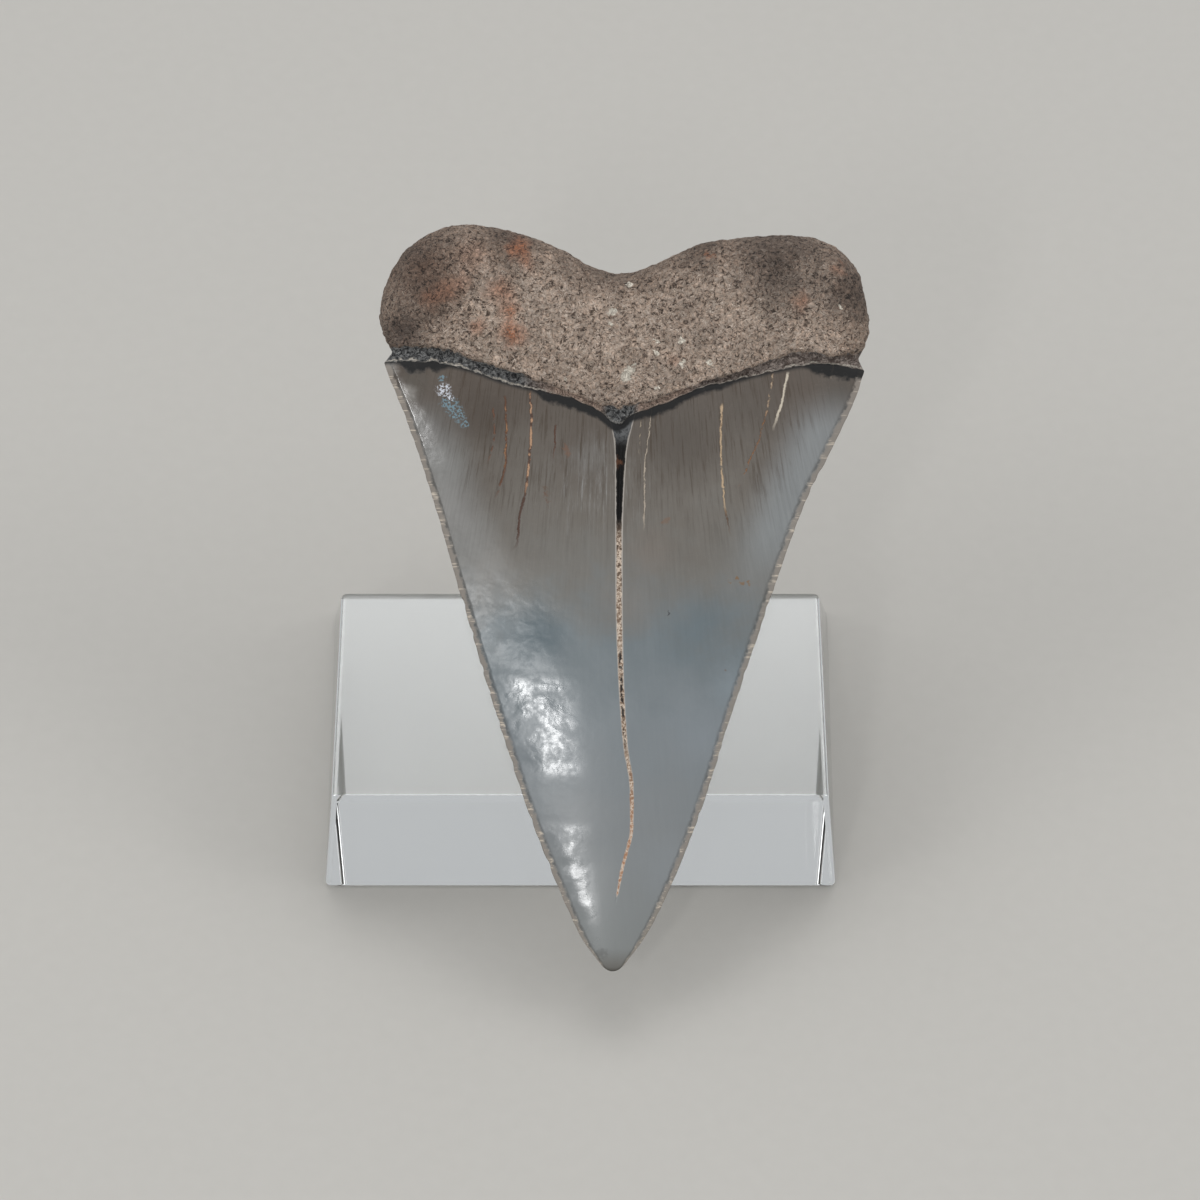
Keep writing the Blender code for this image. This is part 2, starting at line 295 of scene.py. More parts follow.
wear = {
    "crackPath": [  # (s, x) down the middle of the labial enamel
        (5.7, -0.42), (6.5, -0.25), (8.65, 0.17), (10.35, 0.6), (11.6, 0.93), (13.7, 1.0),
        (16.3, 0.93), (18.8, 0.5), (23.1, 0.17), (27.3, 0.0), (31.5, -0.08), (38.3, -0.08),
        (42.1, 0.0), (46.3, 0.15),
    ],
    "crackHalfWidth": [
        (5.7, 0.05), (8.0, 0.08), (16.0, 0.12), (27.0, 0.17), (31.0, 0.18), (38.0, 0.2),
        (39.5, 0.22), (42.0, 0.3), (44.5, 0.42), (46.0, 0.7), (47.5, 1.1),
    ],
    "crackDepth": [
        (5.7, 0.03), (20.0, 0.06), (36.5, 0.08), (38.5, 0.45), (42.0, 0.6), (47.0, 0.55),
    ],
    "crackEnd": (5.0, 6.4),  # s over which it runs out towards the tip
    "crackFade": 6.0,  # how far the crack's mask backs off below that
    "crackLip": 1.25,  # where its cut starts, in half widths
    "nicksLeft": [31.2, 28.7, 25.7, 23.7, 21.2, 17.7, 12.9, 9.2],
    "nicksRight": [42.3, 41.2, 30.9, 25.3, 20.2, 19.4, 13.3],
    "nickDepth": 0.1,
    "nickWidth": 0.28,
    "tipSpared": (1.0, 4.0),  # the raggedness starts over this s
    "edgeTooth": 0.07,  # fine raggedness of both cutting edges
    "edgeToothSize": 0.7,
    "lipJag": 0.16,  # broken upper edge of the enamel
    "jagStart": (0.93, 1.0),  # part of the crown's rows that share it
    "jagSides": (0.0, 0.03),  # part of a row at its ends that it spares
}
grid = {
    "crownRows": 170,
    "bandRows": 8,
    "rootRows": 62,
    "rimColumns": 9,
    "crackColumns": 14,
    "flankColumns": 79,
    "rimStrip": 0.75,  # mm of each row that the rim's columns share, or at most a part of the row
    "rimShare": 0.15,
    "crackSpread": 1.35,  # how much wider than the crack its columns lie
    "crackShare": 0.08,
    "crackTop": 47.0,  # s above which they spread no more
    "crackRange": (0.35, 0.65),  # part of each row that they stay in
    "sag": 4.5,  # how far the top rows hang down in the middle
}


def buildRows():  # ends of every row, and how far up crown, band and root it lies
    f = np.linspace(0, 1, grid["crownRows"] + 1)
    g = np.linspace(0, 1, grid["bandRows"] + 2)[1:-1]
    w = np.sin(np.pi / 2 * np.linspace(0, 1, grid["rootRows"] + 1))
    rows = {"crown": np.concatenate([f, np.ones(len(g) + len(w))])}
    rows["band"] = np.concatenate([np.zeros(len(f)), g, np.ones(len(w))])
    rows["root"] = np.concatenate([np.zeros(len(f) + len(g)), w])
    for side in ("Left", "Right"):
        crown = outline["crown" + side]
        root = outline["root" + side]
        crownX, crownS = alongCurve(crown, f)
        smoothX = crownX.copy()
        rootX, rootS = alongCurve(root, w)
        inward = 1 if side == "Left" else -1
        for place in wear["nicks" + side]:
            deep = wear["nickDepth"] * (0.6 + 0.8 * abs(math.sin(place * 7.3)))  # each its own depth
            crownX += inward * deep * np.exp(-(((crownS - place) / wear["nickWidth"]) ** 2))
        ragged = noiseAt(crownS * 0 + 3 * inward, crownS, wear["edgeToothSize"], 4.0)
        crownX += ragged * wear["edgeTooth"] * easeStep(*wear["tipSpared"], crownS)
        rows["cut" + side] = np.zeros(len(rows["crown"]))
        rows["cut" + side][: len(f)] = (crownX - smoothX) * inward
        notch = [crown[-1], outline["notch" + side], root[0]]
        bandX = np.interp(g, [0, 0.5, 1], [p[0] for p in notch])
        bandS = np.interp(g, [0, 0.5, 1], [p[1] for p in notch])
        rows["x" + side] = np.concatenate([crownX, bandX, rootX])
        rows["s" + side] = np.concatenate([crownS, bandS, rootS])
    return rows


def columnPlaces(rows):  # t of each column on each row: dense at the rims and at the crack
    width = rows["xRight"] - rows["xLeft"]
    middleS = (rows["sLeft"] + rows["sRight"]) / 2 - grid["sag"] * rows["crown"] ** outline["edgeBend"]
    centre = (curveAt(wear["crackPath"], middleS) - rows["xLeft"]) / width
    centre = np.clip(centre, *grid["crackRange"])
    rim = np.minimum(grid["rimStrip"] / width, grid["rimShare"])
    crackHalf = curveAt(wear["crackHalfWidth"], np.minimum(middleS, grid["crackTop"]))
    half = np.minimum(grid["crackSpread"] * crackHalf / width, grid["crackShare"])
    knots = np.cumsum([0, grid["rimColumns"], grid["flankColumns"], grid["crackColumns"],
                       grid["flankColumns"], grid["rimColumns"]])
    t = np.empty((len(width), knots[-1] + 1))
    for row in range(len(width)):
        stops = [0, rim[row], centre[row] - half[row], centre[row] + half[row], 1 - rim[row], 1]
        t[row] = np.interp(np.arange(knots[-1] + 1), knots, stops)
    return t


def shapeTooth():  # both faces of the tooth as (row, column, xyz) arrays in mm, with their masks
    rows = buildRows()
    t = columnPlaces(rows)
    left = (rows["xLeft"][:, None], rows["sLeft"][:, None])
    right = (rows["xRight"][:, None], rows["sRight"][:, None])
    crown, band, root = (rows[k][:, None] for k in ("crown", "band", "root"))
    x = left[0] + (right[0] - left[0]) * t

    def sag(curve, low, high):
        across = low[0] + (high[0] - low[0]) * t
        return curveAt(curve, across) - (low[1] + (high[1] - low[1]) * t)

    def torn(coarse, fine):  # wander of a torn edge, from noises given as size and seed
        jag = noiseAt(x, x * 0, *coarse) + 0.6 * noiseAt(x, x * 0, *fine)
        return jag * wear["lipJag"] * easeStep(*wear["jagSides"], np.minimum(t, 1 - t))

    enamel = sag(outline["enamelEdge"], outline["crownLeft"][-1], outline["crownRight"][-1])
    enamel += torn((0.9, 2.0), (0.35, 9.0)) * easeStep(*wear["jagStart"], crown)
    lower = sag(outline["rootEdge"], outline["rootLeft"][0], outline["rootRight"][0])
    lower += torn((1.1, 5.0), (0.4, 6.0))
    top = sag(outline["rootTop"], outline["rootLeft"][-1], outline["rootRight"][-1])
    tip = -outline["tipRound"] * 4 * t * (1 - t)
    crownBend = enamel * crown ** outline["edgeBend"] + tip * (1 - crown) ** outline["tipBend"]
    bend = crownBend + (lower - enamel) * band + (top - lower) * root
    s = left[1] + (right[1] - left[1]) * t + bend

    u = 2 * t - 1
    half = (right[0] - left[0]) / 2
    fromSide = (1 - np.abs(u)) * half
    cutIn = np.where(u < 0, rows["cutLeft"][:, None], rows["cutRight"][:, None])
    fromRim = fromSide + cutIn * np.abs(u)  # from the edge as it was before it was nicked
    fromTop = curveAt(outline["rootTop"], x) - s
    below = curveAt(outline["enamelEdge"], x) - s

    bow = curveAt(body["bow"], s) * (1 - u * u)
    basin = body["basinDepth"] * np.exp(-((x / body["basinWidth"]) ** 2))
    basin = basin * easeStep(*body["basinStart"], s)
    flare = body["shoulderFlare"] * easeStep(*body["flareReach"], np.abs(u))
    flare = flare * easeStep(*body["flareStart"], s)
    fromRidge = u + curveAt(body["ridgePlace"], s)
    ridge = body["ridgeHeight"] * np.exp(-((fromRidge / body["ridgeWidth"]) ** 2))
    relief = bow - basin + flare + ridge * easeStep(*body["ridgeStart"], s)
    waves = body["waveHeight"] * noiseAt(x, s, body["waveSize"], 1.0)
    relief = relief + waves * easeStep(*body["waveStart"], s)
    rimDrop = body["rimDrop"] * np.clip(1 - fromRim / body["rimWidth"], 0, 1)

    crackHalf = curveAt(wear["crackHalfWidth"], s)
    crackReach = np.abs(x - curveAt(wear["crackPath"], s)) / crackHalf
    crackFoot = wear["crackFade"] * (1 - easeStep(*wear["crackEnd"], s))
    crackGap = np.minimum((crackReach - 1) * crackHalf, 2) + crackFoot
    crackReach = crackReach + crackFoot
    crackCut = curveAt(wear["crackDepth"], s) * np.clip(wear["crackLip"] - crackReach, 0, 1)
    crackCut = crackCut * (1 - band)

    def rounding(radius):
        a = np.clip(1 - fromSide / radius, 0, 1)
        b = np.clip(1 - fromTop / radius, 0, 1)
        return np.sqrt((1 - a * a) * (1 - b * b))

    def lump(seed):
        return body["rootLump"] * noiseAt(x, s, body["rootLumpSize"], seed)

    enamelFront = relief - rimDrop - crackCut
    ledge = 1 - easeStep(*body["ledgeOuter"], np.abs(x))
    ledge = ledge * easeStep(*body["ledgeInner"], np.abs(x))
    gap = np.interp(band, *zip(*body["bandProfile"])) * (1 - body["ledgeFill"] * ledge)
    bandFront = relief - rimDrop + gap
    turned = easeStep(*body["rootTurn"], root)
    edge = (relief - body["bandDepth"]) * (1 - turned) - body["rootEdgeDepth"] * turned
    face = relief * (1 - root) + body["rootProud"] + body["rootSwell"] * np.sin(np.pi * root)
    rootFront = edge + (face + lump(0.0) - edge) * rounding(body["rootFrontRound"])
    front = np.where(band == 0, enamelFront, np.where(root == 0, bandFront, rootFront))
    front = np.where((band == 1) & (root == 0), rootFront, front)

    fill = 1 - np.abs(u) ** body["fullness"]
    crownBack = (relief - rimDrop) * (1 - fill) - curveAt(body["thickness"], s) * fill
    bulge = body["bulge"] * np.exp(-((x / body["bulgeWidth"]) ** 2))
    bulge = bulge * np.exp(-(((s - body["bulgeCentre"]) / body["bulgeHeight"]) ** 2))
    shape = rounding(body["rootBackRound"])
    rootBack = -body["rootEdgeDepth"] * (1 - shape)
    rootBack = rootBack + (lump(7.0) - body["lobeThickness"] - bulge) * shape
    back = crownBack + (rootBack - crownBack) * easeStep(*body["backJoin"], -below)

    onOutline = np.zeros(t.shape, bool)
    onOutline[:, [0, -1]] = True
    onOutline[[0, -1], :] = True
    back = np.where(onOutline, front, back)
    masks = {
        "zone": band + root + 0 * t,  # 0 enamel, to 1 across the dark band, to 2 up the root
        "below": below,  # mm under the enamel's upper edge
        "rim": fromRim,  # mm in from the cutting edge
        "crack": crackGap,  # mm from the crack's side, less than 0 inside it
        "across": u + 0 * t,
        "inset": np.minimum(fromSide, np.maximum(fromTop, 0)),
    }
    return np.stack([x, s, front], -1), np.stack([x, s, back], -1), masks


def addSheet(name, points, masks, isFront):  # a grid primitive pulled into one face
    rowCount, columnCount = points.shape[:2]
    deselectAll()
    bpy.ops.mesh.primitive_grid_add(
        x_subdivisions=columnCount - 1, y_subdivisions=rowCount - 1, size=2, location=(0, 0, 0)
    )
    sheet = bpy.context.object
    sheet.name = name
    mesh = sheet.data
    flat = np.empty(len(mesh.vertices) * 3, np.float32)
    mesh.vertices.foreach_get("co", flat)
    flat = flat.reshape(-1, 3)
    column = np.rint((flat[:, 0] + 1) / 2 * (columnCount - 1)).astype(int)
    row = np.rint((flat[:, 1] + 1) / 2 * (rowCount - 1)).astype(int)
    mesh.vertices.foreach_set("co", points[row, column].astype(np.float32).ravel())
    for key, values in masks.items():
        layer = mesh.attributes.new(key, "FLOAT", "POINT")
        layer.data.foreach_set("value", values[row, column].astype(np.float32))
    layer = mesh.attributes.new("labial", "FLOAT", "POINT")
    layer.data.foreach_set("value", np.full(len(row), float(isFront), np.float32))
    if not isFront:
        mesh.flip_normals()
    return sheet


def addRootRelief(item, weights, size, strength, depth):  # cloudy noise that lifts the root's skin
    group = item.vertex_groups.get("rootSkin") or item.vertex_groups.new(name="rootSkin")
    for level in np.unique(weights):
        if level > 0:
            group.add(np.flatnonzero(weights == level).tolist(), float(level), "REPLACE")
    texture = bpy.data.textures.new("rootSkinCLOUDS" + str(size), "CLOUDS")
    texture.noise_scale = size
    texture.noise_depth = depth
    relief = item.modifiers.new(texture.name, "DISPLACE")
    relief.texture = texture
    relief.vertex_group = group.name
    relief.strength = strength
    relief.mid_level = 0.5


rootRelief = {
    "grainSize": 0.45,  # mm, the root's coarse sandy bone texture
    "grainHeight": 0.26,
    "lumpSize": 1.3,
    "lumpHeight": 0.22,
    "bandStart": 0.25,  # part of the dark band below which there is none
}


def makeTooth():
    front, back, masks = shapeTooth()
    labial = addSheet("toothLabial", front, masks, True)
    lingual = addSheet("toothLingual", back, masks, False)
    deselectAll()
    lingual.select_set(True)
    labial.select_set(True)
    bpy.context.view_layer.objects.active = labial
    bpy.ops.object.join()
    tooth = labial
    tooth.name = "fossilTooth"
    bpy.ops.object.mode_set(mode="EDIT")
    bpy.ops.mesh.select_all(action="SELECT")
    bpy.ops.mesh.remove_doubles(threshold=0.0004)  # in mm, as the mesh is until it is scaled
    bpy.ops.mesh.normals_make_consistent(inside=False)
    bpy.ops.object.mode_set(mode="OBJECT")
    zone = np.empty(len(tooth.data.vertices), np.float32)
    tooth.data.attributes["zone"].data.foreach_get("value", zone)
    weights = np.round(np.clip((zone - rootRelief["bandStart"]) * 2, 0, 1) * 10) / 10
    addRootRelief(tooth, weights, rootRelief["lumpSize"], rootRelief["lumpHeight"], 1)
    addRootRelief(tooth, weights, rootRelief["grainSize"], rootRelief["grainHeight"], 2)
    applyModifiers(tooth)
    bpy.ops.object.shade_smooth()
    tooth.scale = (mm, mm, mm)
    tooth.rotation_euler.x = seat["tilt"]
    tooth.location = toothPlace * mm
    bpy.ops.object.transform_apply()
    return tooth


toothPiece = makeTooth()
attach(toothPiece, "root")
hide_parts("tooth")
print("tooth shaped:", len(toothPiece.data.polygons), "faces")


def makeBlock():  # cut from a box with the slope, the slanting back and the two leaning sides
    deselectAll()
    rise = stand["topHeight"] - stand["airGap"]
    middle = (stand["middleX"], stand["frontY"] + stand["depth"] / 2, stand["airGap"] + rise / 2)
    bpy.ops.mesh.primitive_cube_add(size=1, location=Vector(middle) * mm)
    block = bpy.context.object
    block.name = "acrylicBlock"
    block.scale = Vector((stand["width"], stand["depth"], rise)) * mm
    bpy.ops.object.transform_apply()
    frontY = stand["frontY"]
    backY = frontY + stand["depth"]
    cuts = [
        ((0, frontY, stand["frontHeight"]), slopeOut),
        ((0, backY, 0), (0, stand["topHeight"], stand["depth"] - stand["topDepth"])),
    ]
    for side in (-1, 1):
        foot = (stand["middleX"] + side * stand["width"] / 2, 0, 0)
        cuts.append((foot, (side * stand["topHeight"], 0, stand["taper"])))
    bpy.ops.object.mode_set(mode="EDIT")
    for place, normal in cuts:
        bpy.ops.mesh.select_all(action="SELECT")
        bpy.ops.mesh.bisect(
            plane_co=Vector(place) * mm, plane_no=Vector(normal).normalized(), use_fill=True,
            clear_outer=True,
        )
    bpy.ops.mesh.select_all(action="SELECT")
    bpy.ops.mesh.remove_doubles(threshold=0.00001)
    bpy.ops.mesh.normals_make_consistent(inside=False)
    bpy.ops.object.mode_set(mode="OBJECT")
    bpy.ops.object.shade_smooth()
    rounded = block.modifiers.new("polished edges", "BEVEL")
    rounded.width = stand["edge"] * mm
    rounded.segments = 4
    rounded.limit_method = "ANGLE"
    rounded.harden_normals = True  # the big faces stay optically flat
    applyModifiers(block)
    return block


blockPiece = makeBlock()
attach(blockPiece, "root")
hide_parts("display_block")
print("block cut:", len(blockPiece.data.polygons), "faces")

putty = {"halfWidth": 5.0, "halfLength": 3.6, "squareness": 0.35, "dent": 0.12, "dentScale": 1.7}


def makePutty():  # a ball pressed flat between the slope and the round back of the tooth
    deselectAll()
    bpy.ops.mesh.primitive_uv_sphere_add(segments=64, ring_count=32, radius=1, location=(0, 0, 0))
    dab = bpy.context.object
    dab.name = "mountingPutty"
    solid = frame["nodes"]["tooth"]
    toothBack = BVHTree.FromPolygons(
        [v.co for v in solid.data.vertices], [p.vertices[:] for p in solid.data.polygons]
    )
    centre = slopeMiddle.copy()
    centre.x = toothPlace.x
    for vert in dab.data.vertices:
        p = vert.co.copy()
        pinch = 1 + putty["dent"] * noise.noise(p * putty["dentScale"]) * (1 - abs(p.z))
        foot = centre + Vector((putty["halfWidth"] * p.x * pinch, 0, 0))
        foot = (foot + slopeUphill * putty["halfLength"] * p.y * pinch) * mm
        room = (toothBack.ray_cast(foot, slopeOut)[0] - foot).length
        level = math.copysign(abs(p.z) ** putty["squareness"], p.z)
        gap = seat["clearance"] * mm
        vert.co = foot + slopeOut * (gap + (room - 2 * gap) * (1 + level) / 2)
    makeActive(dab)
    bpy.ops.object.shade_smooth()
    return dab


puttyPiece = makePutty()
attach(puttyPiece, "root")
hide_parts("mounting_wax")
print("putty pressed")

# Enamel and root, one material on one tooth: masks on the mesh say where each lies
toothLook = {
    "toneSpan": 52.0,  # mm from the tip that the tones and the polish along the blade cover
    "tipTones": [  # along the blade's middle, position in mm from the tip
        (0.0, "#5f5c56"), (0.7, "#74736e"), (1.9, "#888b8a"), (12.0, "#868a8c"), (21.0, "#81888c"),
        (27.0, "#747d81"), (34.0, "#76736d"), (39.0, "#706a62"), (46.0, "#5f564d"), (52.0, "#564a40"),
    ],
    "enamelTintsAndSheen": [  # (x, s) in mm, radius, strength, tone
        ((-7.2, 28.6), 4.4, 0.8, "#4f6068"), ((7.6, 30.0), 3.2, 0.4, "#5f7078"),
        ((5.6, 28.4), 3.6, 0.4, "#62737b"),
        ((0.6, 31.0), 3.6, 0.5, "#817c76"), ((-11.0, 34.0), 4.0, 0.4, "#817a72"),
        ((5.0, 45.0), 5.4, 0.75, "#50473e"), ((-11.6, 47.2), 4.6, 0.75, "#4b4036"),
        ((11.0, 47.4), 4.2, 0.6, "#534a41"), ((18.6, 49.2), 2.6, 0.75, "#514a42"),
        ((-17.6, 50.0), 2.2, 0.7, "#5d574f"), ((10.0, 24.0), 3.4, 0.5, "#8f9aa1"),
        # pale crown corners, partly painted sheen on their rounded tips
        ((-19.9, 51.4), 1.5, 0.75, "#bdbab4"), ((20.4, 50.9), 1.2, 0.6, "#aeaba5"),
        ((-2.6, 43.6), 2.6, 0.45, "#7d7b77"), ((-14.4, 43.0), 3.2, 0.4, "#8c8b86"),
        ((7.0, 20.0), 5.0, 0.5, "#8d949a"), ((4.0, 9.0), 4.0, 0.5, "#8f9498"),
        ((-15.6, 46.9), 2.0, 0.5, "#5b5349"), ((2.4, 35.5), 3.0, 0.35, "#84786e"),
        # painted sheen along the left shoulder, over enamel a little paler there
        ((-18.3, 48.8), 1.5, 0.5, "#a8a49e"), ((-17.4, 46.4), 1.6, 0.55, "#a5a29d"),
        ((-16.4, 43.6), 1.7, 0.4, "#9d9b97"),
    ],
    "enamelStains": [
        ((-4.6, 44.4), 0.4, 0.5, "#7c5136"), ((-4.5, 43.9), 0.3, 0.45, "#7c5136"),
        ((-6.35, 41.0), 0.3, 0.45, "#5e4530"), ((-6.25, 40.5), 0.34, 0.4, "#6a4b34"),
        ((-6.15, 39.9), 0.3, 0.4, "#6a4b34"),
        ((9.9, 33.3), 0.26, 0.85, "#84623a"), ((10.4, 32.9), 0.24, 0.8, "#84623a"),
        ((10.9, 33.0), 0.2, 0.8, "#84623a"),
        ((-1.5, 1.6), 0.6, 0.35, "#4c4a46"), ((4.2, 5.8), 0.4, 0.5, "#7f6a54"),
        ((5.1, 8.2), 0.35, 0.5, "#8a6d52"), ((9.4, 33.0), 0.14, 0.6, "#84623a"),
        ((4.1, 30.3), 0.16, 0.8, "#2b2c30"), ((3.9, 38.2), 0.4, 0.35, "#80552f"),
        ((10.4, 20.5), 0.3, 0.3, "#7e6748"), ((9.0, 25.6), 0.16, 0.5, "#6b4a30"),
    ],
    # paler flank tone, partly painted sheen on the right flank
    "flankPaleAndSheenTone": "#909597",
    "flankWidth": (5.8, 1.6),  # mm in from the cutting edge, from none to full
    "flankFoot": (29.0, 38.0),  # mm from the tip, as are all the spans that follow
    "flankHead": (50.0, 45.5),
    "streakTone": "#463624",
    "streakScale": 4.6,  # per mm across
    "streakDrawn": 0.05,  # and how much less often along the blade
    "streakFoot": (34.0, 47.0),
    "streakSides": (0.95, 0.7),  # part of the way out from the middle
    "frostTone": "#8f8d8a",
    "frostPatch": ((-2.0, 41.0), 6.5),
    "rimTone": "#9c938a",
    "rimWidth": (0.56, 0.34),
    "rimChip": "#eaddcb",
    "chipAmount": (0.56, 0.6),
    "rimLine": "#4d4a46",
    "rimLinePlace": 0.6,
    "polish": [  # how glassy the left of the blade is, by mm from the tip
        (0.0, 0.3), (4.0, 0.6), (5.2, 1.0), (11.6, 1.0), (12.8, 0.25), (15.4, 0.2), (16.8, 0.8),
        (18.6, 1.0), (24.2, 1.0), (25.4, 0.5), (32.0, 0.5), (35.0, 0.15), (42.0, 0.2), (44.5, 0.9),
        (52.0, 0.9),
    ],
    "glassyRoughness": 0.13,
    "satinRoughness": 0.36,
    "erodedRoughness": 0.5,
    "dryRoughness": 0.82,
    "enamelIor": 1.6,
    "rippleScale": 1.3,  # per mm
    "rippleHeights": (0.01, 0.018),  # mm, in the middle and at the left flank
    "rootBump": 0.45,  # mm
    "lipTone": "#e6ddd0",
    "shadowTone": "#07080a",
    "bandDark": "#1d1f22",
    "bandLight": "#a3a3a2",
    "rubblePale": "#6e6f70",
    "rubbleDark": "#1a1b1d",
    "ledgeShade": "#7d695d",
    "ledgeTone": "#cdb3a2",
    "ledgeEnds": (8.5, 5.5),  # mm either side of the middle
    "funnel": (1.1, 1.7),
    "rootLight": "#f3dfce",
    "rootMid": "#cfb5a1",
    "rootDark": "#45362b",
    "rootSkin": "#b0a7a0",
    "rootTints": [
        ((13.2, 59.6), 6.0, 0.9, "#84807e"), ((19.4, 57.6), 4.2, 0.8, "#857c77"),
        ((-16.4, 59.4), 5.6, 0.9, "#89776c"), ((-18.6, 54.2), 3.0, 0.9, "#767170"),
        ((-9.8, 61.6), 3.6, 0.65, "#948981"), ((6.6, 61.4), 3.6, 0.6, "#979089"),
        ((-16.0, 55.8), 4.0, 0.6, "#93867e"), ((0.0, 61.0), 5.0, 0.35, "#a79e97"),
    ],
    "rust": [
        ((-8.6, 61.4), 1.1, 0.75), ((-8.0, 60.2), 0.8, 0.5), ((-16.0, 57.0), 1.0, 0.35),
        ((-14.5, 57.7), 1.2, 0.4), ((-13.3, 58.3), 0.8, 0.3), ((-10.2, 57.7), 1.3, 0.6),
        ((-12.0, 54.8), 0.8, 0.6), ((-9.4, 56.0), 0.9, 0.8), ((-9.2, 54.2), 1.25, 0.95),
        ((15.3, 56.7), 0.9, 0.5), ((18.5, 59.5), 0.7, 0.35), ((4.4, 51.9), 0.6, 0.35),
        ((7.5, 60.7), 0.35, 0.7), ((-12.6, 60.6), 1.6, 0.25),
    ],
    "rustTone": "#cf7d50",
    "creamSpots": [
        ((0.5, 50.45), 0.52), ((0.8, 50.9), 0.5), ((1.35, 51.45), 0.22), ((-0.6, 56.0), 0.44),
        ((0.85, 58.2), 0.28), ((-0.8, 54.8), 0.26), ((3.1, 53.5), 0.2), ((3.1, 52.5), 0.26),
        ((5.3, 53.4), 0.38), ((5.3, 51.5), 0.26), ((7.6, 51.6), 0.32), ((-4.7, 50.2), 0.14),
        ((18.7, 56.3), 0.2), ((3.1, 49.4), 0.24),
    ],
    "creamTone": "#fff5e4",
    # near-black painted shade inside the open crack, also the dark specks in its filling
    "crackShadeAndSpecks": "#0c0a09",
    "crackOpens": (36.4, 38.4),
    "slotFoot": (18.2, 20.0),  # the narrow part that has lost its filling again
    "slotHead": (27.4, 26.8),
    "plugStart": (44.6, 45.6),
    "crackFilled": "#8c7460",
    "crackLow": "#b48565",
    "lowStart": (18.0, 12.0),
    "crackGrit": "#dccbb9",
    "crackEdge": "#bdb5ac",
    "crackStain": [((-0.3, 43.2), 0.6, 0.8, "#7a5138")],
    "hairlines": [  # (s, x) points, half width in mm, how broken, colour
        ([(35.7, -9.1), (36.7, -8.7), (38.6, -8.5), (40.6, -8.05), (43.2, -7.7), (46.5, -7.55),
          (49.3, -7.63)], 0.11, 0.25, "#4a2d1c"),
        ([(40.2, -8.1), (43.2, -7.7), (46.5, -7.55), (49.3, -7.63)], 0.09, 0.42, "#bd9473"),
        ([(40.0, -10.7), (41.2, -10.2), (43.0, -9.75), (45.6, -9.67), (48.9, -9.75)],
         0.09, 0.34, "#5f3a20"),
        ([(42.4, -9.85), (45.6, -9.67), (48.0, -9.72)], 0.06, 0.5, "#a67850"),
        ([(43.0, -11.3), (45.3, -10.7), (47.9, -10.8)], 0.075, 0.4, "#6b4630"),
        ([(43.2, -5.7), (46.5, -5.4)], 0.06, 0.38, "#583420"),
        ([(39.2, -6.1), (41.2, -6.5)], 0.06, 0.44, "#6b452c"),
        ([(36.9, 9.45), (38.2, 9.1), (39.4, 8.95)], 0.07, 0.3, "#5d4632"),
        ([(38.6, 9.05), (42.1, 8.65), (45.0, 8.57), (48.25, 8.65)], 0.085, 0.32, "#c4a988"),
        ([(41.5, 8.7), (45.0, 8.57), (47.6, 8.62)], 0.05, 0.52, "#6b4a30"),
        ([(37.3, 2.0), (40.5, 2.1), (42.6, 2.08), (45.7, 2.46), (48.1, 2.8)], 0.06, 0.36, "#b5a796"),
        ([(43.6, 1.62), (46.9, 1.78)], 0.05, 0.42, "#a39582"),
        ([(41.0, 10.0), (43.3, 11.0), (46.5, 12.2), (49.0, 12.7), (50.8, 13.0)], 0.075, 0.42, "#8a603e"),
        ([(46.8, 12.3), (49.0, 12.7), (50.8, 13.0)], 0.07, 0.4, "#b9a48a"),
        ([(45.8, 12.9), (48.7, 13.8), (50.9, 14.25)], 0.11, 0.25, "#d3c7b4"),
        ([(50.2, 17.9), (51.9, 18.1)], 0.09, 0.25, "#cdbba3"),
    ],
    "flake": [
        ((-14.5, 48.2), 0.95, "irisTone"), ((-13.8, 47.3), 0.85, "irisTone"),
        ((-13.2, 46.5), 0.5, "irisTone"), ((-15.1, 50.3), 0.4, "irisTone"),
        ((-15.0, 49.4), 0.7, "glintTone"), ((-14.4, 48.7), 0.45, "glintTone"),
    ],
    "irisTone": "#74909c",
    "glintTone": "#dfe3ec",
    "tornEdge": [  # (x, mm of shadow under the enamel's torn upper edge)
        (-21.0, 0.1), (-19.2, 0.05), (-18.2, 0.6), (-16.8, 0.75), (-16.2, 0.35), (-15.8, 0.6),
        (-14.4, 0.1), (-7.6, 0.06), (-6.6, 0.6), (-4.0, 0.7), (-1.5, 0.55), (0.8, 0.5), (2.6, 0.62),
        (5.9, 0.5), (8.5, 0.42), (10.6, 0.12), (15.0, 0.08), (16.4, 0.6), (18.4, 0.95), (20.0, 0.75),
        (21.0, 0.1),
    ],
}


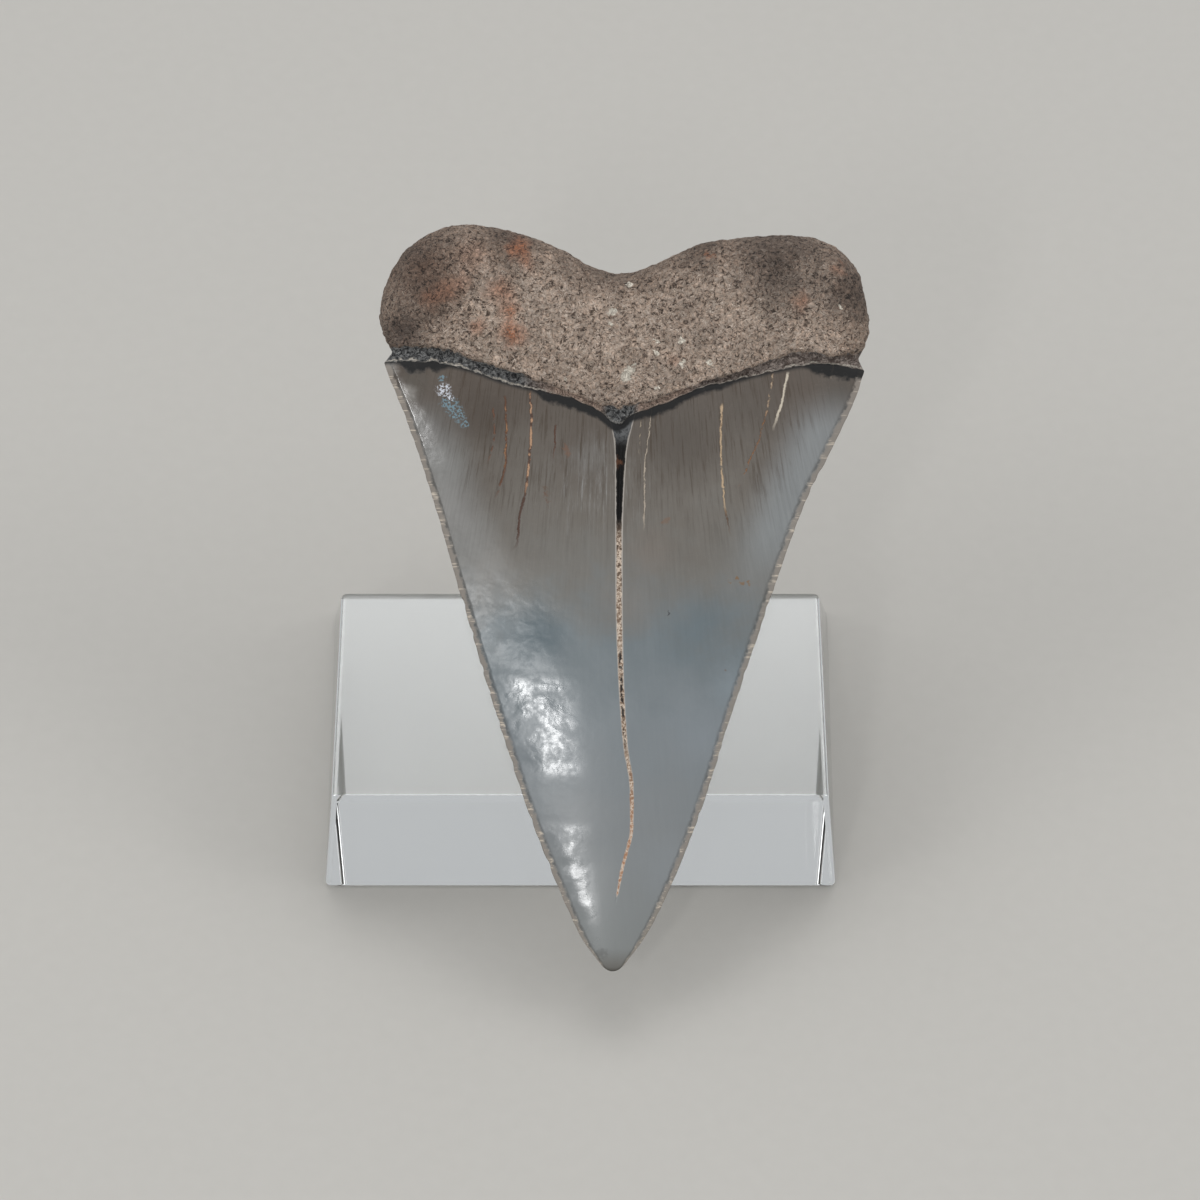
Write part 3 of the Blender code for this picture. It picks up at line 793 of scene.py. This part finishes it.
def crackLine(add, at, points, halfWidth, breakup):  # mask of a hairline crack through (s, x)
    s = at.s
    lowS, highS = points[0][0], points[-1][0]
    lowX = min(p[1] for p in points) - 0.5
    highX = max(p[1] for p in points) + 0.5
    along = add("MapRange", {0: s, 1: lowS, 2: highS})
    path = add("FloatCurve", {"Value": along})
    bendCurve(path, [((p[0] - lowS) / (highS - lowS), (p[1] - lowX) / (highX - lowX)) for p in points])
    back = add("MapRange", {0: path, 3: lowX, 4: highX})
    off = add("Math", {0: at.crackX, 1: back}, operation="SUBTRACT")
    far = add("Math", {0: off}, operation="ABSOLUTE")
    line = add("MapRange", {
        0: far, 1: halfWidth * 1.4, 2: halfWidth * 0.4}, interpolation_type="SMOOTHSTEP")
    foot = add("MapRange", {0: s, 1: lowS, 2: lowS + 1.5})
    head = add("MapRange", {0: s, 1: highS, 2: highS - 0.3})
    worn = add("MapRange", {0: at.specks, 1: breakup, 2: breakup + 0.12})
    ends = add("Math", {0: foot, 1: head}, operation="MULTIPLY")
    kept = add("Math", {0: ends, 1: worn}, operation="MULTIPLY")
    return add("Math", {0: line, 1: kept}, operation="MULTIPLY")


def spotMask(add, place, centre, radius, softness):  # mask of a blotch with a wandering edge
    away = add("VectorMath", {0: place, 1: (centre[0], centre[1], 0)}, operation="DISTANCE")
    return add("MapRange", {
        0: away, 1: radius, 2: radius * (1 - softness)}, interpolation_type="SMOOTHSTEP")


def tinted(add, place, colour, patches, kind="MIX", softness=1.0):  # soft-edged patches of tone
    for centre, radius, strength, tone in patches:
        mask = spotMask(add, place, centre, radius, softness)
        weak = add("Math", {0: mask, 1: strength}, operation="MULTIPLY")
        colour = add("Mix", {0: weak, 6: colour, 7: tone}, data_type="RGBA", blend_type=kind)
    return colour


def readTooth(add):  # the tooth's own x, s and n in mm, and noises that several finishes share
    raw = add("TexCoord")
    local = add("Mapping", {
        "Vector": raw.outputs["Object"], "Location": toothPlace * mm, "Rotation": (seat["tilt"], 0, 0),
        "Scale": (mm, mm, mm)}, vector_type="TEXTURE")
    parts = add("SeparateXYZ", {0: local})
    at = SimpleNamespace(vector=local, x=parts.outputs["X"], s=parts.outputs["Y"])
    for key in ("zone", "below", "rim", "crack", "across", "inset", "labial"):
        setattr(at, key, add("Attribute", attribute_name=key).outputs["Fac"])
    at.specks = add("TexNoise", {"Vector": local, "Scale": 1.6, "Detail": 3, "Roughness": 0.6})
    for key, scale, detail, roughness, push in (  # places pushed about, for outlines that wander
        ("wavy", 0.9, 4, 0.65, 2.2),
        ("steady", 2.2, 3, 0.6, 1.2),
    ):
        warp = add("TexNoise", {
            "Vector": local, "Scale": scale, "Detail": detail, "Roughness": roughness})
        centred = add("VectorMath", {
            0: warp.outputs["Color"], 1: (0.5, 0.5, 0.5)}, operation="SUBTRACT")
        pushed = add("VectorMath", {0: centred, 1: (push, push, 0), 2: local}, operation="MULTIPLY_ADD")
        setattr(at, key, add("VectorMath", {0: pushed, 1: (1, 1, 0)}, operation="MULTIPLY"))
    shaky = add("TexNoise", {"Vector": local, "Scale": 1.3, "Detail": 3, "Roughness": 0.7})
    aside = add("MapRange", {0: shaky, 3: -0.22, 4: 0.22}, clamp=False)
    at.crackX = add("Math", {0: at.x, 1: aside}, operation="ADD")
    return at


def paintEnamel(add, at):  # blue-grey blade, brown streaky base, rims, cracks
    place = add("MapRange", {0: at.s, 1: 0.0, 2: toothLook["toneSpan"]})
    wander = add("TexNoise", {"Vector": at.vector, "Scale": 0.16, "Detail": 5, "Roughness": 0.65})
    sway = add("Math", {0: wander, 1: 0.5}, operation="SUBTRACT")
    swayRoom = add("MapRange", {0: at.s, 1: 1.5, 2: 10.0, 4: 0.3})
    level = add("Math", {0: sway, 1: swayRoom, 2: place}, operation="MULTIPLY_ADD")
    tones = add("ValToRGB", {0: level})
    setTones(tones, [(p / toothLook["toneSpan"], code) for p, code in toothLook["tipTones"]])
    # blotches of tone over the enamel, some of them painted sheen on the left shoulder and the crown's
    # corners
    colour = tinted(add, at.wavy, tones, toothLook["enamelTintsAndSheen"])

    # the flanks are thinner and paler than the middle, the right one most, and on the right the paler
    # tone is partly painted sheen where the light glows along the flank: blue-grey 6 mm inwards
    flank = add("MapRange", {
        0: at.rim, (1, 2): toothLook["flankWidth"], 4: 0.75}, interpolation_type="SMOOTHSTEP")
    low = add("MapRange", {0: at.s, (1, 2): toothLook["flankFoot"]}, interpolation_type="SMOOTHSTEP")
    high = add("MapRange", {0: at.s, (1, 2): toothLook["flankHead"]}, interpolation_type="SMOOTHSTEP")
    rightSide = add("MapRange", {0: at.across, 1: 0.2, 2: 0.4})
    leftSide = add("MapRange", {0: at.across, 1: -0.2, 2: -0.4, 4: 0.4})
    eitherSide = add("Math", {0: rightSide, 1: leftSide}, operation="MAXIMUM")
    span = add("Math", {0: low, 1: high}, operation="MULTIPLY")
    flankSpan = add("Math", {0: span, 1: eitherSide}, operation="MULTIPLY")
    flankPaleAndSheenMask = add("Math", {0: flank, 1: flankSpan}, operation="MULTIPLY")
    colour = add("Mix", {0: flankPaleAndSheenMask, 6: colour, 7: toothLook["flankPaleAndSheenTone"]}, data_type="RGBA")

    # fine growth streaks run down from the enamel's top, spreading a little: about 0.2 mm apart
    side = add("Math", {0: at.across}, operation="ABSOLUTE")
    lean = add("MapRange", {0: at.s, 1: 38.0, 2: 48.0, 3: 0.88, 4: 1.0}, clamp=False)
    upright = add("Math", {0: at.x, 1: lean}, operation="MULTIPLY")
    drawn = add("Math", {0: at.s, 1: toothLook["streakDrawn"]}, operation="MULTIPLY")
    grainPlace = add("CombineXYZ", {0: upright, 1: drawn})
    streaks = add("TexNoise", {
        "Vector": grainPlace, "Scale": toothLook["streakScale"], "Detail": 5, "Roughness": 0.7})
    dark = add("MapRange", {0: streaks, 1: 0.5, 2: 0.66}, interpolation_type="SMOOTHSTEP")
    upper = add("MapRange", {
        0: at.s, (1, 2): toothLook["streakFoot"], 4: 0.85}, interpolation_type="SMOOTHSTEP")
    inner = add("MapRange", {0: side, (1, 2): toothLook["streakSides"]}, interpolation_type="SMOOTHSTEP")
    zoneMask = add("Math", {0: upper, 1: inner}, operation="MULTIPLY")
    streaked = add("Math", {0: dark, 1: zoneMask}, operation="MULTIPLY")
    colour = add("Mix", {0: streaked, 6: colour, 7: toothLook["streakTone"]}, data_type="RGBA")
    pale = add("MapRange", {0: streaks, 1: 0.3, 2: 0.7, 3: 1.12, 4: 0.84})
    fading = add("MapRange", {
        0: at.s, 1: 22.0, 2: 42.0, 3: 0.15, 4: 0.75}, interpolation_type="SMOOTHSTEP")
    colour = add("Mix", {0: fading, 6: colour, 7: pale}, data_type="RGBA", blend_type="MULTIPLY")
    frost = add("TexNoise", {"Vector": grainPlace, "Scale": 5.0, "Detail": 4, "Roughness": 0.8})
    frosted = add("MapRange", {0: frost, 1: 0.52, 2: 0.68})
    middle = spotMask(add, at.wavy, *toothLook["frostPatch"], 1.0)
    frosty = add("Math", {0: frosted, 1: middle}, operation="MULTIPLY")
    colour = add("Mix", {0: frosty, 6: colour, 7: toothLook["frostTone"]}, data_type="RGBA")
    colour = tinted(add, at.steady, colour, toothLook["enamelStains"], softness=0.7)

    # a flake near the left shoulder where thin layers of enamel part: painted white glints over sky blue
    scales = add("TexNoise", {
        "Vector": at.vector, "Scale": 5.5, "Detail": 2, "Roughness": 0.6, "Distortion": 0.4})
    flakes = add("MapRange", {0: scales, 1: 0.48, 2: 0.54, 4: 0.9})
    for centre, radius, key in toothLook["flake"]:
        spot = spotMask(add, at.steady, centre, radius, 0.5)
        flake = add("Math", {0: spot, 1: flakes}, operation="MULTIPLY")
        colour = add("Mix", {0: flake, 6: colour, 7: toothLook[key]}, data_type="RGBA")

    cut = None
    for points, halfWidth, breakup, tone in toothLook["hairlines"]:
        mask = crackLine(add, at, points, halfWidth, breakup)
        front = add("Math", {0: mask, 1: at.labial}, operation="MULTIPLY")
        colour = add("Mix", {0: front, 6: colour, 7: tone}, data_type="RGBA")
        cut = add("Math", {0: cut, 1: front}, operation="MAXIMUM") if cut else front

    # ground-down cutting edges: a paler chipped rim with a dark line along its inner side
    rimWander = add("MapRange", {0: at.specks, 1: 0.3, 2: 0.7, 3: -0.16, 4: 0.16}, clamp=False)
    rimPlace = add("Math", {0: at.rim, 1: rimWander}, operation="ADD")
    rim = add("MapRange", {0: rimPlace, (1, 2): toothLook["rimWidth"], 4: 0.85})
    colour = add("Mix", {0: rim, 6: colour, 7: toothLook["rimTone"]}, data_type="RGBA")
    chipPlace = add("CombineXYZ", {0: at.across, 1: at.s})
    chips = add("TexNoise", {"Vector": chipPlace, "Scale": 2.6, "Detail": 4, "Roughness": 0.85})
    chipped = add("MapRange", {0: chips, (1, 2): toothLook["chipAmount"], 4: 0.9})
    chipMask = add("Math", {0: chipped, 1: rim}, operation="MULTIPLY")
    colour = add("Mix", {0: chipMask, 6: colour, 7: toothLook["rimChip"]}, data_type="RGBA")
    rimFar = add("Math", {0: rimPlace, 1: toothLook["rimLinePlace"]}, operation="SUBTRACT")
    rimNear = add("Math", {0: rimFar}, operation="ABSOLUTE")
    rimLine = add("MapRange", {0: rimNear, 1: 0.2, 2: 0.0, 4: 0.6})
    unsteady = add("MapRange", {0: at.specks, 1: 0.4, 2: 0.6, 3: 0.3})
    lineMask = add("Math", {0: rimLine, 1: unsteady}, operation="MULTIPLY")
    colour = add("Mix", {0: lineMask, 6: colour, 7: toothLook["rimLine"]}, data_type="RGBA")

    # main crack: open above with near-black painted shade inside, filled with pale sediment below with
    # dark specks, its edges pale all along
    edgeWidth = add("MapRange", {0: at.s, 1: 12.0, 2: 34.0, 3: 0.01, 4: 0.1})
    beyond = add("Math", {0: at.crack, 1: edgeWidth}, operation="SUBTRACT")
    edged = add("MapRange", {0: beyond, 1: 0.06, 2: 0.0, 4: 0.85})
    edgeFront = add("Math", {0: edged, 1: at.labial}, operation="MULTIPLY")
    colour = add("Mix", {0: edgeFront, 6: colour, 7: toothLook["crackEdge"]}, data_type="RGBA")
    frayed = add("MapRange", {0: at.specks, 1: 0.3, 2: 0.7, 3: -0.05, 4: 0.05})
    crackSide = add("Math", {0: at.crack, 1: frayed}, operation="ADD")
    filled = add("MapRange", {0: crackSide, 1: 0.06, 2: 0.0})
    filledFront = add("Math", {0: filled, 1: at.labial}, operation="MULTIPLY")
    openness = add("MapRange", {0: at.s, (1, 2): toothLook["crackOpens"]})
    crumbs = add("TexNoise", {"Vector": at.vector, "Scale": 3.5, "Detail": 3, "Roughness": 0.8})
    speckled = add("MapRange", {0: crumbs, 1: 0.5, 2: 0.4, 4: 0.85})
    sparse = add("MapRange", {0: at.s, 1: 28.0, 2: 35.0, 3: 0.1, 4: 0.8})
    dots = add("Math", {0: speckled, 1: sparse}, operation="MULTIPLY")
    darkPart = add("Math", {0: openness, 1: dots}, operation="MAXIMUM")
    lowness = add("MapRange", {0: at.s, (1, 2): toothLook["lowStart"]})
    grit = add("MapRange", {0: crumbs, 1: 0.46, 2: 0.58})
    packed = add("Mix", {
        0: lowness, 6: toothLook["crackFilled"], 7: toothLook["crackLow"]}, data_type="RGBA")
    sediment = add("Mix", {0: grit, 6: packed, 7: toothLook["crackGrit"]}, data_type="RGBA")
    filling = add("Mix", {0: darkPart, 6: sediment, 7: toothLook["crackShadeAndSpecks"]}, data_type="RGBA")
    inside = add("MapRange", {0: crackSide, 1: -0.02, 2: -0.06})
    slotFoot = add("MapRange", {0: at.s, (1, 2): toothLook["slotFoot"]})
    slotHead = add("MapRange", {0: at.s, (1, 2): toothLook["slotHead"]})
    slotBroken = add("MapRange", {0: at.specks, 1: 0.44, 2: 0.5, 4: 0.95})
    slotSpan = add("Math", {0: slotFoot, 1: slotHead}, operation="MULTIPLY")
    slotLeft = add("Math", {0: slotSpan, 1: slotBroken}, operation="MULTIPLY")
    slot = add("Math", {0: slotLeft, 1: inside}, operation="MULTIPLY")
    # painted shade also inside the slot whose filling is lost
    filling = add("Mix", {0: slot, 6: filling, 7: toothLook["crackShadeAndSpecks"]}, data_type="RGBA")
    filling = tinted(add, at.steady, filling, toothLook["crackStain"], softness=0.5)
    plug = add("MapRange", {0: at.s, (1, 2): toothLook["plugStart"]})
    rubble = add("Mix", {
        0: dots, 6: toothLook["rubblePale"], 7: toothLook["rubbleDark"]}, data_type="RGBA")
    filling = add("Mix", {0: plug, 6: filling, 7: rubble}, data_type="RGBA")
    colour = add("Mix", {0: filledFront, 6: colour, 7: filling}, data_type="RGBA")
    return colour, streaks, cut, filledFront, zoneMask


def paintRoot(add, at):  # porous fossil bone: pale worm-like ridges with dark pits between
    grain = add("TexNoise", {
        "Vector": at.vector, "Scale": 2.7, "Detail": 3, "Roughness": 0.7, "Distortion": 0.9})
    worms = add("TexNoise", {
        "Vector": at.vector, "Scale": 1.9, "Detail": 2, "Roughness": 0.5, "Distortion": 1.6})
    offMiddle = add("Math", {0: worms, 1: 0.5}, operation="SUBTRACT")
    apart = add("Math", {0: offMiddle}, operation="ABSOLUTE")
    ridge = add("MapRange", {0: apart, 1: 0.06, 2: 0.0}, interpolation_type="SMOOTHSTEP")
    mixed = add("Math", {0: ridge, 1: 0.33, 2: grain}, operation="MULTIPLY_ADD")
    tones = add("ValToRGB", {0: mixed})
    setTones(tones, [
        (0.39, toothLook["rootDark"]), (0.54, toothLook["rootMid"]), (0.77, toothLook["rootLight"])])
    mottle = add("TexNoise", {"Vector": at.vector, "Scale": 0.4, "Detail": 3, "Roughness": 0.6})
    cloudy = add("MapRange", {0: mottle, 1: 0.35, 2: 0.65, 3: 0.78, 4: 1.12})
    colour = add("Mix", {0: 1.0, 6: tones, 7: cloudy}, data_type="RGBA", blend_type="MULTIPLY")
    colour = tinted(add, at.wavy, colour, toothLook["rootTints"], "MULTIPLY")
    # darker towards the root's outline
    outlineDarkening = add("MapRange", {0: at.inset, 1: 4.0, 2: 0.3, 4: 0.6}, interpolation_type="SMOOTHSTEP")
    colour = add("Mix", {
        0: outlineDarkening, 6: colour, 7: toothLook["rootSkin"]}, data_type="RGBA", blend_type="MULTIPLY")
    facing = add("MapRange", {0: at.labial, 3: 0.4})
    for centre, radius, strength in toothLook["rust"]:
        spot = spotMask(add, at.wavy, centre, radius * 1.4, 0.95)
        mask = add("Math", {0: spot, 1: facing}, operation="MULTIPLY")
        grainy = add("MapRange", {0: mixed, 1: 0.45, 2: 0.65, 3: 0.15 * strength, 4: strength})
        weak = add("Math", {0: mask, 1: grainy}, operation="MULTIPLY")
        colour = add("Mix", {0: weak, 6: colour, 7: toothLook["rustTone"]}, data_type="RGBA")
    for centre, radius in toothLook["creamSpots"]:
        mask = spotMask(add, at.steady, centre, radius, 0.4)
        front = add("Math", {0: mask, 1: at.labial}, operation="MULTIPLY")
        colour = add("Mix", {0: front, 6: colour, 7: toothLook["creamTone"]}, data_type="RGBA")
    return colour, mixed


def paintBand(add, at):  # dark crumbled dentine between enamel and root, tan in the middle
    rough = add("TexNoise", {
        "Vector": at.vector, "Scale": 3.0, "Detail": 4, "Roughness": 0.75, "Distortion": 1.0})
    amount = add("MapRange", {0: rough, 1: 0.43, 2: 0.6})
    crumbled = add("Mix", {
        0: amount, 6: toothLook["bandDark"], 7: toothLook["bandLight"]}, data_type="RGBA")
    away = add("Math", {0: at.x}, operation="ABSOLUTE")
    central = add("MapRange", {0: away, (1, 2): toothLook["ledgeEnds"]})
    onRight = add("MapRange", {0: at.x, 1: 4.0, 2: 7.0, 4: 0.5})
    central = add("Math", {0: central, 1: onRight}, operation="MAXIMUM")
    funnel = add("MapRange", {0: away, (1, 2): toothLook["funnel"]})
    low = add("MapRange", {0: at.zone, 1: 0.88, 2: 0.78})
    spread = add("Math", {0: central, 1: funnel}, operation="MULTIPLY")
    ledge = add("Math", {0: spread, 1: low}, operation="MULTIPLY")
    tan = add("Mix", {
        0: amount, 6: toothLook["ledgeShade"], 7: toothLook["ledgeTone"]}, data_type="RGBA")
    return add("Mix", {0: ledge, 6: crumbled, 7: tan}, data_type="RGBA")


def makeToothMaterial():
    # Shark enameloid and fossil root bone: the enamel is glassy with a slight ripple, so highlights
    # break up; the root is dry and sandy and has no highlight at all
    material, add, shader = newMaterial("fossil enameloid and root bone")
    at = readTooth(add)
    enamel, streaks, cut, crackMask, eroded = paintEnamel(add, at)
    root, grain = paintRoot(add, at)
    band = paintBand(add, at)

    # the enamel's torn upper edge: a near-black painted shadow where it overhangs, a thin cream lip
    # where it stands
    end = toothLook["tornEdge"][-1][0]
    torn = add("MapRange", {0: at.x, 1: -end, 2: end})
    reach = add("FloatCurve", {"Value": torn})
    bendCurve(reach, [((x + end) / (2 * end), depth) for x, depth in toothLook["tornEdge"]])
    unevenness = add("MapRange", {0: at.specks, 1: 0.3, 2: 0.7, 3: 0.8, 4: 1.3})
    wide = add("Math", {0: reach, 1: unevenness}, operation="MULTIPLY")
    left = add("Math", {0: wide, 1: at.below}, operation="SUBTRACT")
    shadow = add("MapRange", {0: left, 1: -0.3, 2: 0.15, 4: 0.97}, interpolation_type="SMOOTHSTEP")
    colour = add("Mix", {0: shadow, 6: enamel, 7: toothLook["shadowTone"]}, data_type="RGBA")
    isBand = add("MapRange", {0: at.zone, 1: 0.02, 2: 0.1})
    colour = add("Mix", {0: isBand, 6: colour, 7: band}, data_type="RGBA")
    lipWander = add("MapRange", {0: at.specks, 1: 0.3, 2: 0.7, 3: 0.02, 4: 0.2})
    lipPlace = add("Math", {0: at.zone, 1: lipWander}, operation="SUBTRACT")
    lipFar = add("Math", {0: lipPlace}, operation="ABSOLUTE")
    lip = add("MapRange", {0: lipFar, 1: 0.07, 2: 0.02})
    outward = add("Math", {0: at.x}, operation="ABSOLUTE")
    lipSpan = add("MapRange", {0: outward, 1: 5.5, 2: 7.0, 3: 0.25})
    lipBroken = add("MapRange", {0: at.specks, 1: 0.38, 2: 0.48, 4: 0.9})
    lipLeft = add("Math", {0: lip, 1: lipBroken}, operation="MULTIPLY")
    lipMask = add("Math", {0: lipLeft, 1: lipSpan}, operation="MULTIPLY")
    colour = add("Mix", {0: lipMask, 6: colour, 7: toothLook["lipTone"]}, data_type="RGBA")
    fray = add("MapRange", {0: at.specks, 1: 0.3, 2: 0.7, 3: -0.15, 4: 0.15})
    frayed = add("Math", {0: at.zone, 1: fray}, operation="ADD")
    isRoot = add("MapRange", {0: frayed, 1: 0.78, 2: 0.92})
    colour = add("Mix", {0: isRoot, 6: colour, 7: root}, data_type="RGBA")

    # roughness: glassy enamel in wandering patches, dull where it is eroded near the root; dry root,
    # band and crack filling
    height = add("MapRange", {0: at.s, 1: 0.0, 2: toothLook["toneSpan"]})
    kept = add("FloatCurve", {"Value": height})
    bendCurve(kept, [(p / toothLook["toneSpan"], value) for p, value in toothLook["polish"]])
    leftPart = add("MapRange", {
        0: at.across, 1: -0.2, 2: -0.44, 3: 0.1}, interpolation_type="SMOOTHSTEP")
    worn = add("TexNoise", {"Vector": at.vector, "Scale": 0.45, "Detail": 4, "Roughness": 0.7})
    patchy = add("MapRange", {0: worn, 1: 0.4, 2: 0.52, 3: 0.45})
    both = add("Math", {0: kept, 1: leftPart}, operation="MULTIPLY")
    glassy = add("Math", {0: both, 1: patchy}, operation="MULTIPLY")
    polish = add("MapRange", {
        0: glassy, 3: toothLook["satinRoughness"], 4: toothLook["glassyRoughness"]})
    gloss = add("MapRange", {0: eroded, 2: 0.5, 3: polish, 4: toothLook["erodedRoughness"]})
    bare = add("Math", {0: isBand, 1: crackMask}, operation="MAXIMUM")
    # the painted shadow under the torn edge is made matte as well
    dry = add("Math", {0: bare, 1: shadow}, operation="MAXIMUM")
    roughness = add("MapRange", {0: dry, 3: gloss, 4: toothLook["dryRoughness"]})

    # relief too fine for the mesh: hammered enamel ripple about 0.8 mm across, and 0.4 mm root grain
    ripple = add("TexNoise", {
        "Vector": at.vector, "Scale": toothLook["rippleScale"], "Detail": 2, "Roughness": 0.35,
        "Distortion": 0.2})
    rippled = add("MapRange", {
        0: at.across, 1: -0.35, 2: -0.62, (3, 4): toothLook["rippleHeights"]})
    calm = add("MapRange", {0: at.s, 1: 8.0, 2: 17.0, 3: 0.55, 4: 1.0})
    rippling = add("Math", {0: rippled, 1: calm}, operation="MULTIPLY")
    rippleHeight = add("Math", {0: ripple, 1: rippling}, operation="MULTIPLY")
    grooving = add("MapRange", {0: eroded, 3: 0.001, 4: 0.01})
    streakHeight = add("Math", {0: streaks, 1: grooving, 2: rippleHeight}, operation="MULTIPLY_ADD")
    cutHeight = add("Math", {0: cut, 1: -0.05, 2: streakHeight}, operation="MULTIPLY_ADD")
    rootGrain = add("Math", {0: grain, 1: toothLook["rootBump"]}, operation="MULTIPLY")
    height = add("MapRange", {0: isBand, 3: cutHeight, 4: rootGrain})
    bump = add("Bump", {"Height": height, "Distance": mm, "Strength": 1.0})
    fillInputs(shader, {
        "Base Color": colour, "Roughness": roughness, "IOR": toothLook["enamelIor"], "Normal": bump})
    return material


paint(toothPiece, makeToothMaterial())
print("tooth painted")


acrylicLook = {
    "tint": "#fbfdfd",
    "ior": 1.49,
    "smear": 0.03,  # roughness where fingers have touched it
    "scratchScale": (2500, 90, 2500),  # per metre: scratches 0.4 mm apart and about 11 mm long
    "scratchDepth": 0.004,
}
puttyLook = {"dark": "#b9b09c", "pale": "#d5cdbb", "roughness": 0.6, "dentDepth": 0.25}


def makeAcrylic():
    # Cast acrylic with flame-polished faces: clear as glass but a little softer, so it carries
    # a few handling scratches that only show as thin sparkle
    material, add, shader = newMaterial("cast acrylic, polished")
    raw = add("TexCoord")
    drawn = add("Mapping", {
        "Vector": raw.outputs["Object"], "Rotation": (0.3, 0.2, 0.9),
        "Scale": acrylicLook["scratchScale"]})
    scratch = add("TexNoise", {"Vector": drawn, "Scale": 1.0, "Detail": 2})
    fine = add("MapRange", {0: scratch, 1: 0.7, 2: 0.78, 4: 0.3})
    smear = add("TexNoise", {"Vector": raw.outputs["Object"], "Scale": 160, "Detail": 3})
    haze = add("MapRange", {0: smear, 1: 0.45, 2: 0.75, 3: 0.0, 4: acrylicLook["smear"]})
    bump = add("Bump", {"Height": fine, "Distance": acrylicLook["scratchDepth"] * mm, "Strength": 0.3})
    fillInputs(shader, {
        "Base Color": acrylicLook["tint"], "Transmission Weight": 1.0, "IOR": acrylicLook["ior"],
        "Roughness": haze, "Normal": bump})
    return material


def makePuttyMaterial():
    # Museum putty: dull off-white, kneaded, so it keeps soft dents about 1 mm across
    material, add, shader = newMaterial("museum putty")
    raw = add("TexCoord")
    dents = add("TexNoise", {"Vector": raw.outputs["Object"], "Scale": 900, "Detail": 3})
    tone = add("Mix", {0: dents, 6: puttyLook["dark"], 7: puttyLook["pale"]}, data_type="RGBA")
    bump = add("Bump", {"Height": dents, "Distance": puttyLook["dentDepth"] * mm, "Strength": 0.7})
    fillInputs(shader, {"Base Color": tone, "Roughness": puttyLook["roughness"], "Normal": bump})
    return material


paint(blockPiece, makeAcrylic())
paint(puttyPiece, makePuttyMaterial())
print("stand finished")

studio = {
    "floorSize": 3.0,
    "floorTone": "#c9c6c0",
    "floorGrain": "#cdcac4",
    "floorRoughness": 0.75,
    "worldTone": "#e6e8ea",
    "worldStrength": 0.64,
    "lights": [  # name, direction from the tooth as (x, up the tooth, out of its face), m, sizes, W
        ("keySoftbox", (-0.205, -0.0925, 0.98), 0.6, (0.046, 0.087), 0.27),
        ("leftSoftbox", (-0.7, 0.3, 0.65), 0.7, (0.3, 0.3), 0.7),
        ("rightSoftbox", (0.75, 0.35, 0.55), 0.7, (0.3, 0.3), 0.7),
        ("topSoftbox", (0.0, 0.95, 0.45), 0.8, (0.5, 0.5), 1.2),
    ],
}
view = {"focusX": -1.7, "focusS": 31.5, "distance": 555.0, "frameWidth": 101.8}


def makeStudio():
    deselectAll()
    bpy.ops.mesh.primitive_plane_add(size=studio["floorSize"], location=(0, 0, 0))
    floor = bpy.context.object
    floor.name = "paleFloor"
    material, add, shader = newMaterial("matt paper sweep")
    raw = add("TexCoord")
    grain = add("TexNoise", {"Vector": raw.outputs["Object"], "Scale": 700, "Detail": 2})
    tone = add("Mix", {0: grain, 6: studio["floorTone"], 7: studio["floorGrain"]}, data_type="RGBA")
    fillInputs(shader, {"Base Color": tone, "Roughness": studio["floorRoughness"]})
    floor.data.materials.append(material)
    world = bpy.data.worlds.new("softRoom")
    world.use_nodes = True
    background = world.node_tree.nodes["Background"]
    fillInputs(background, {"Color": studio["worldTone"], "Strength": studio["worldStrength"]})
    bpy.context.scene.world = world
    focus = (toothPlace + toothTurn @ Vector((view["focusX"], view["focusS"], 0))) * mm
    for name, direction, distance, size, power in studio["lights"]:
        lamp = bpy.data.lights.new(name, "AREA")
        lamp.shape = "RECTANGLE"
        lamp.size, lamp.size_y = size
        lamp.energy = power
        lampItem = bpy.data.objects.new(name, lamp)
        bpy.context.collection.objects.link(lampItem)
        away = (toothTurn @ Vector(direction)).normalized()
        lampItem.location = focus + away * distance
        lampItem.rotation_euler = away.to_track_quat("Z", "Y").to_euler()
    camera = bpy.data.cameras.new("camera")
    camera.sensor_width = 36.0
    camera.lens = camera.sensor_width * view["distance"] / view["frameWidth"]
    cameraItem = bpy.data.objects.new("camera", camera)
    bpy.context.collection.objects.link(cameraItem)
    cameraItem.location = focus + toothTurn @ Vector((0, 0, view["distance"] * mm))
    cameraItem.rotation_euler = (seat["tilt"], 0, 0)
    bpy.context.scene.camera = cameraItem
    bpy.context.scene.view_settings.view_transform = "Standard"


makeStudio()
print("studio set")
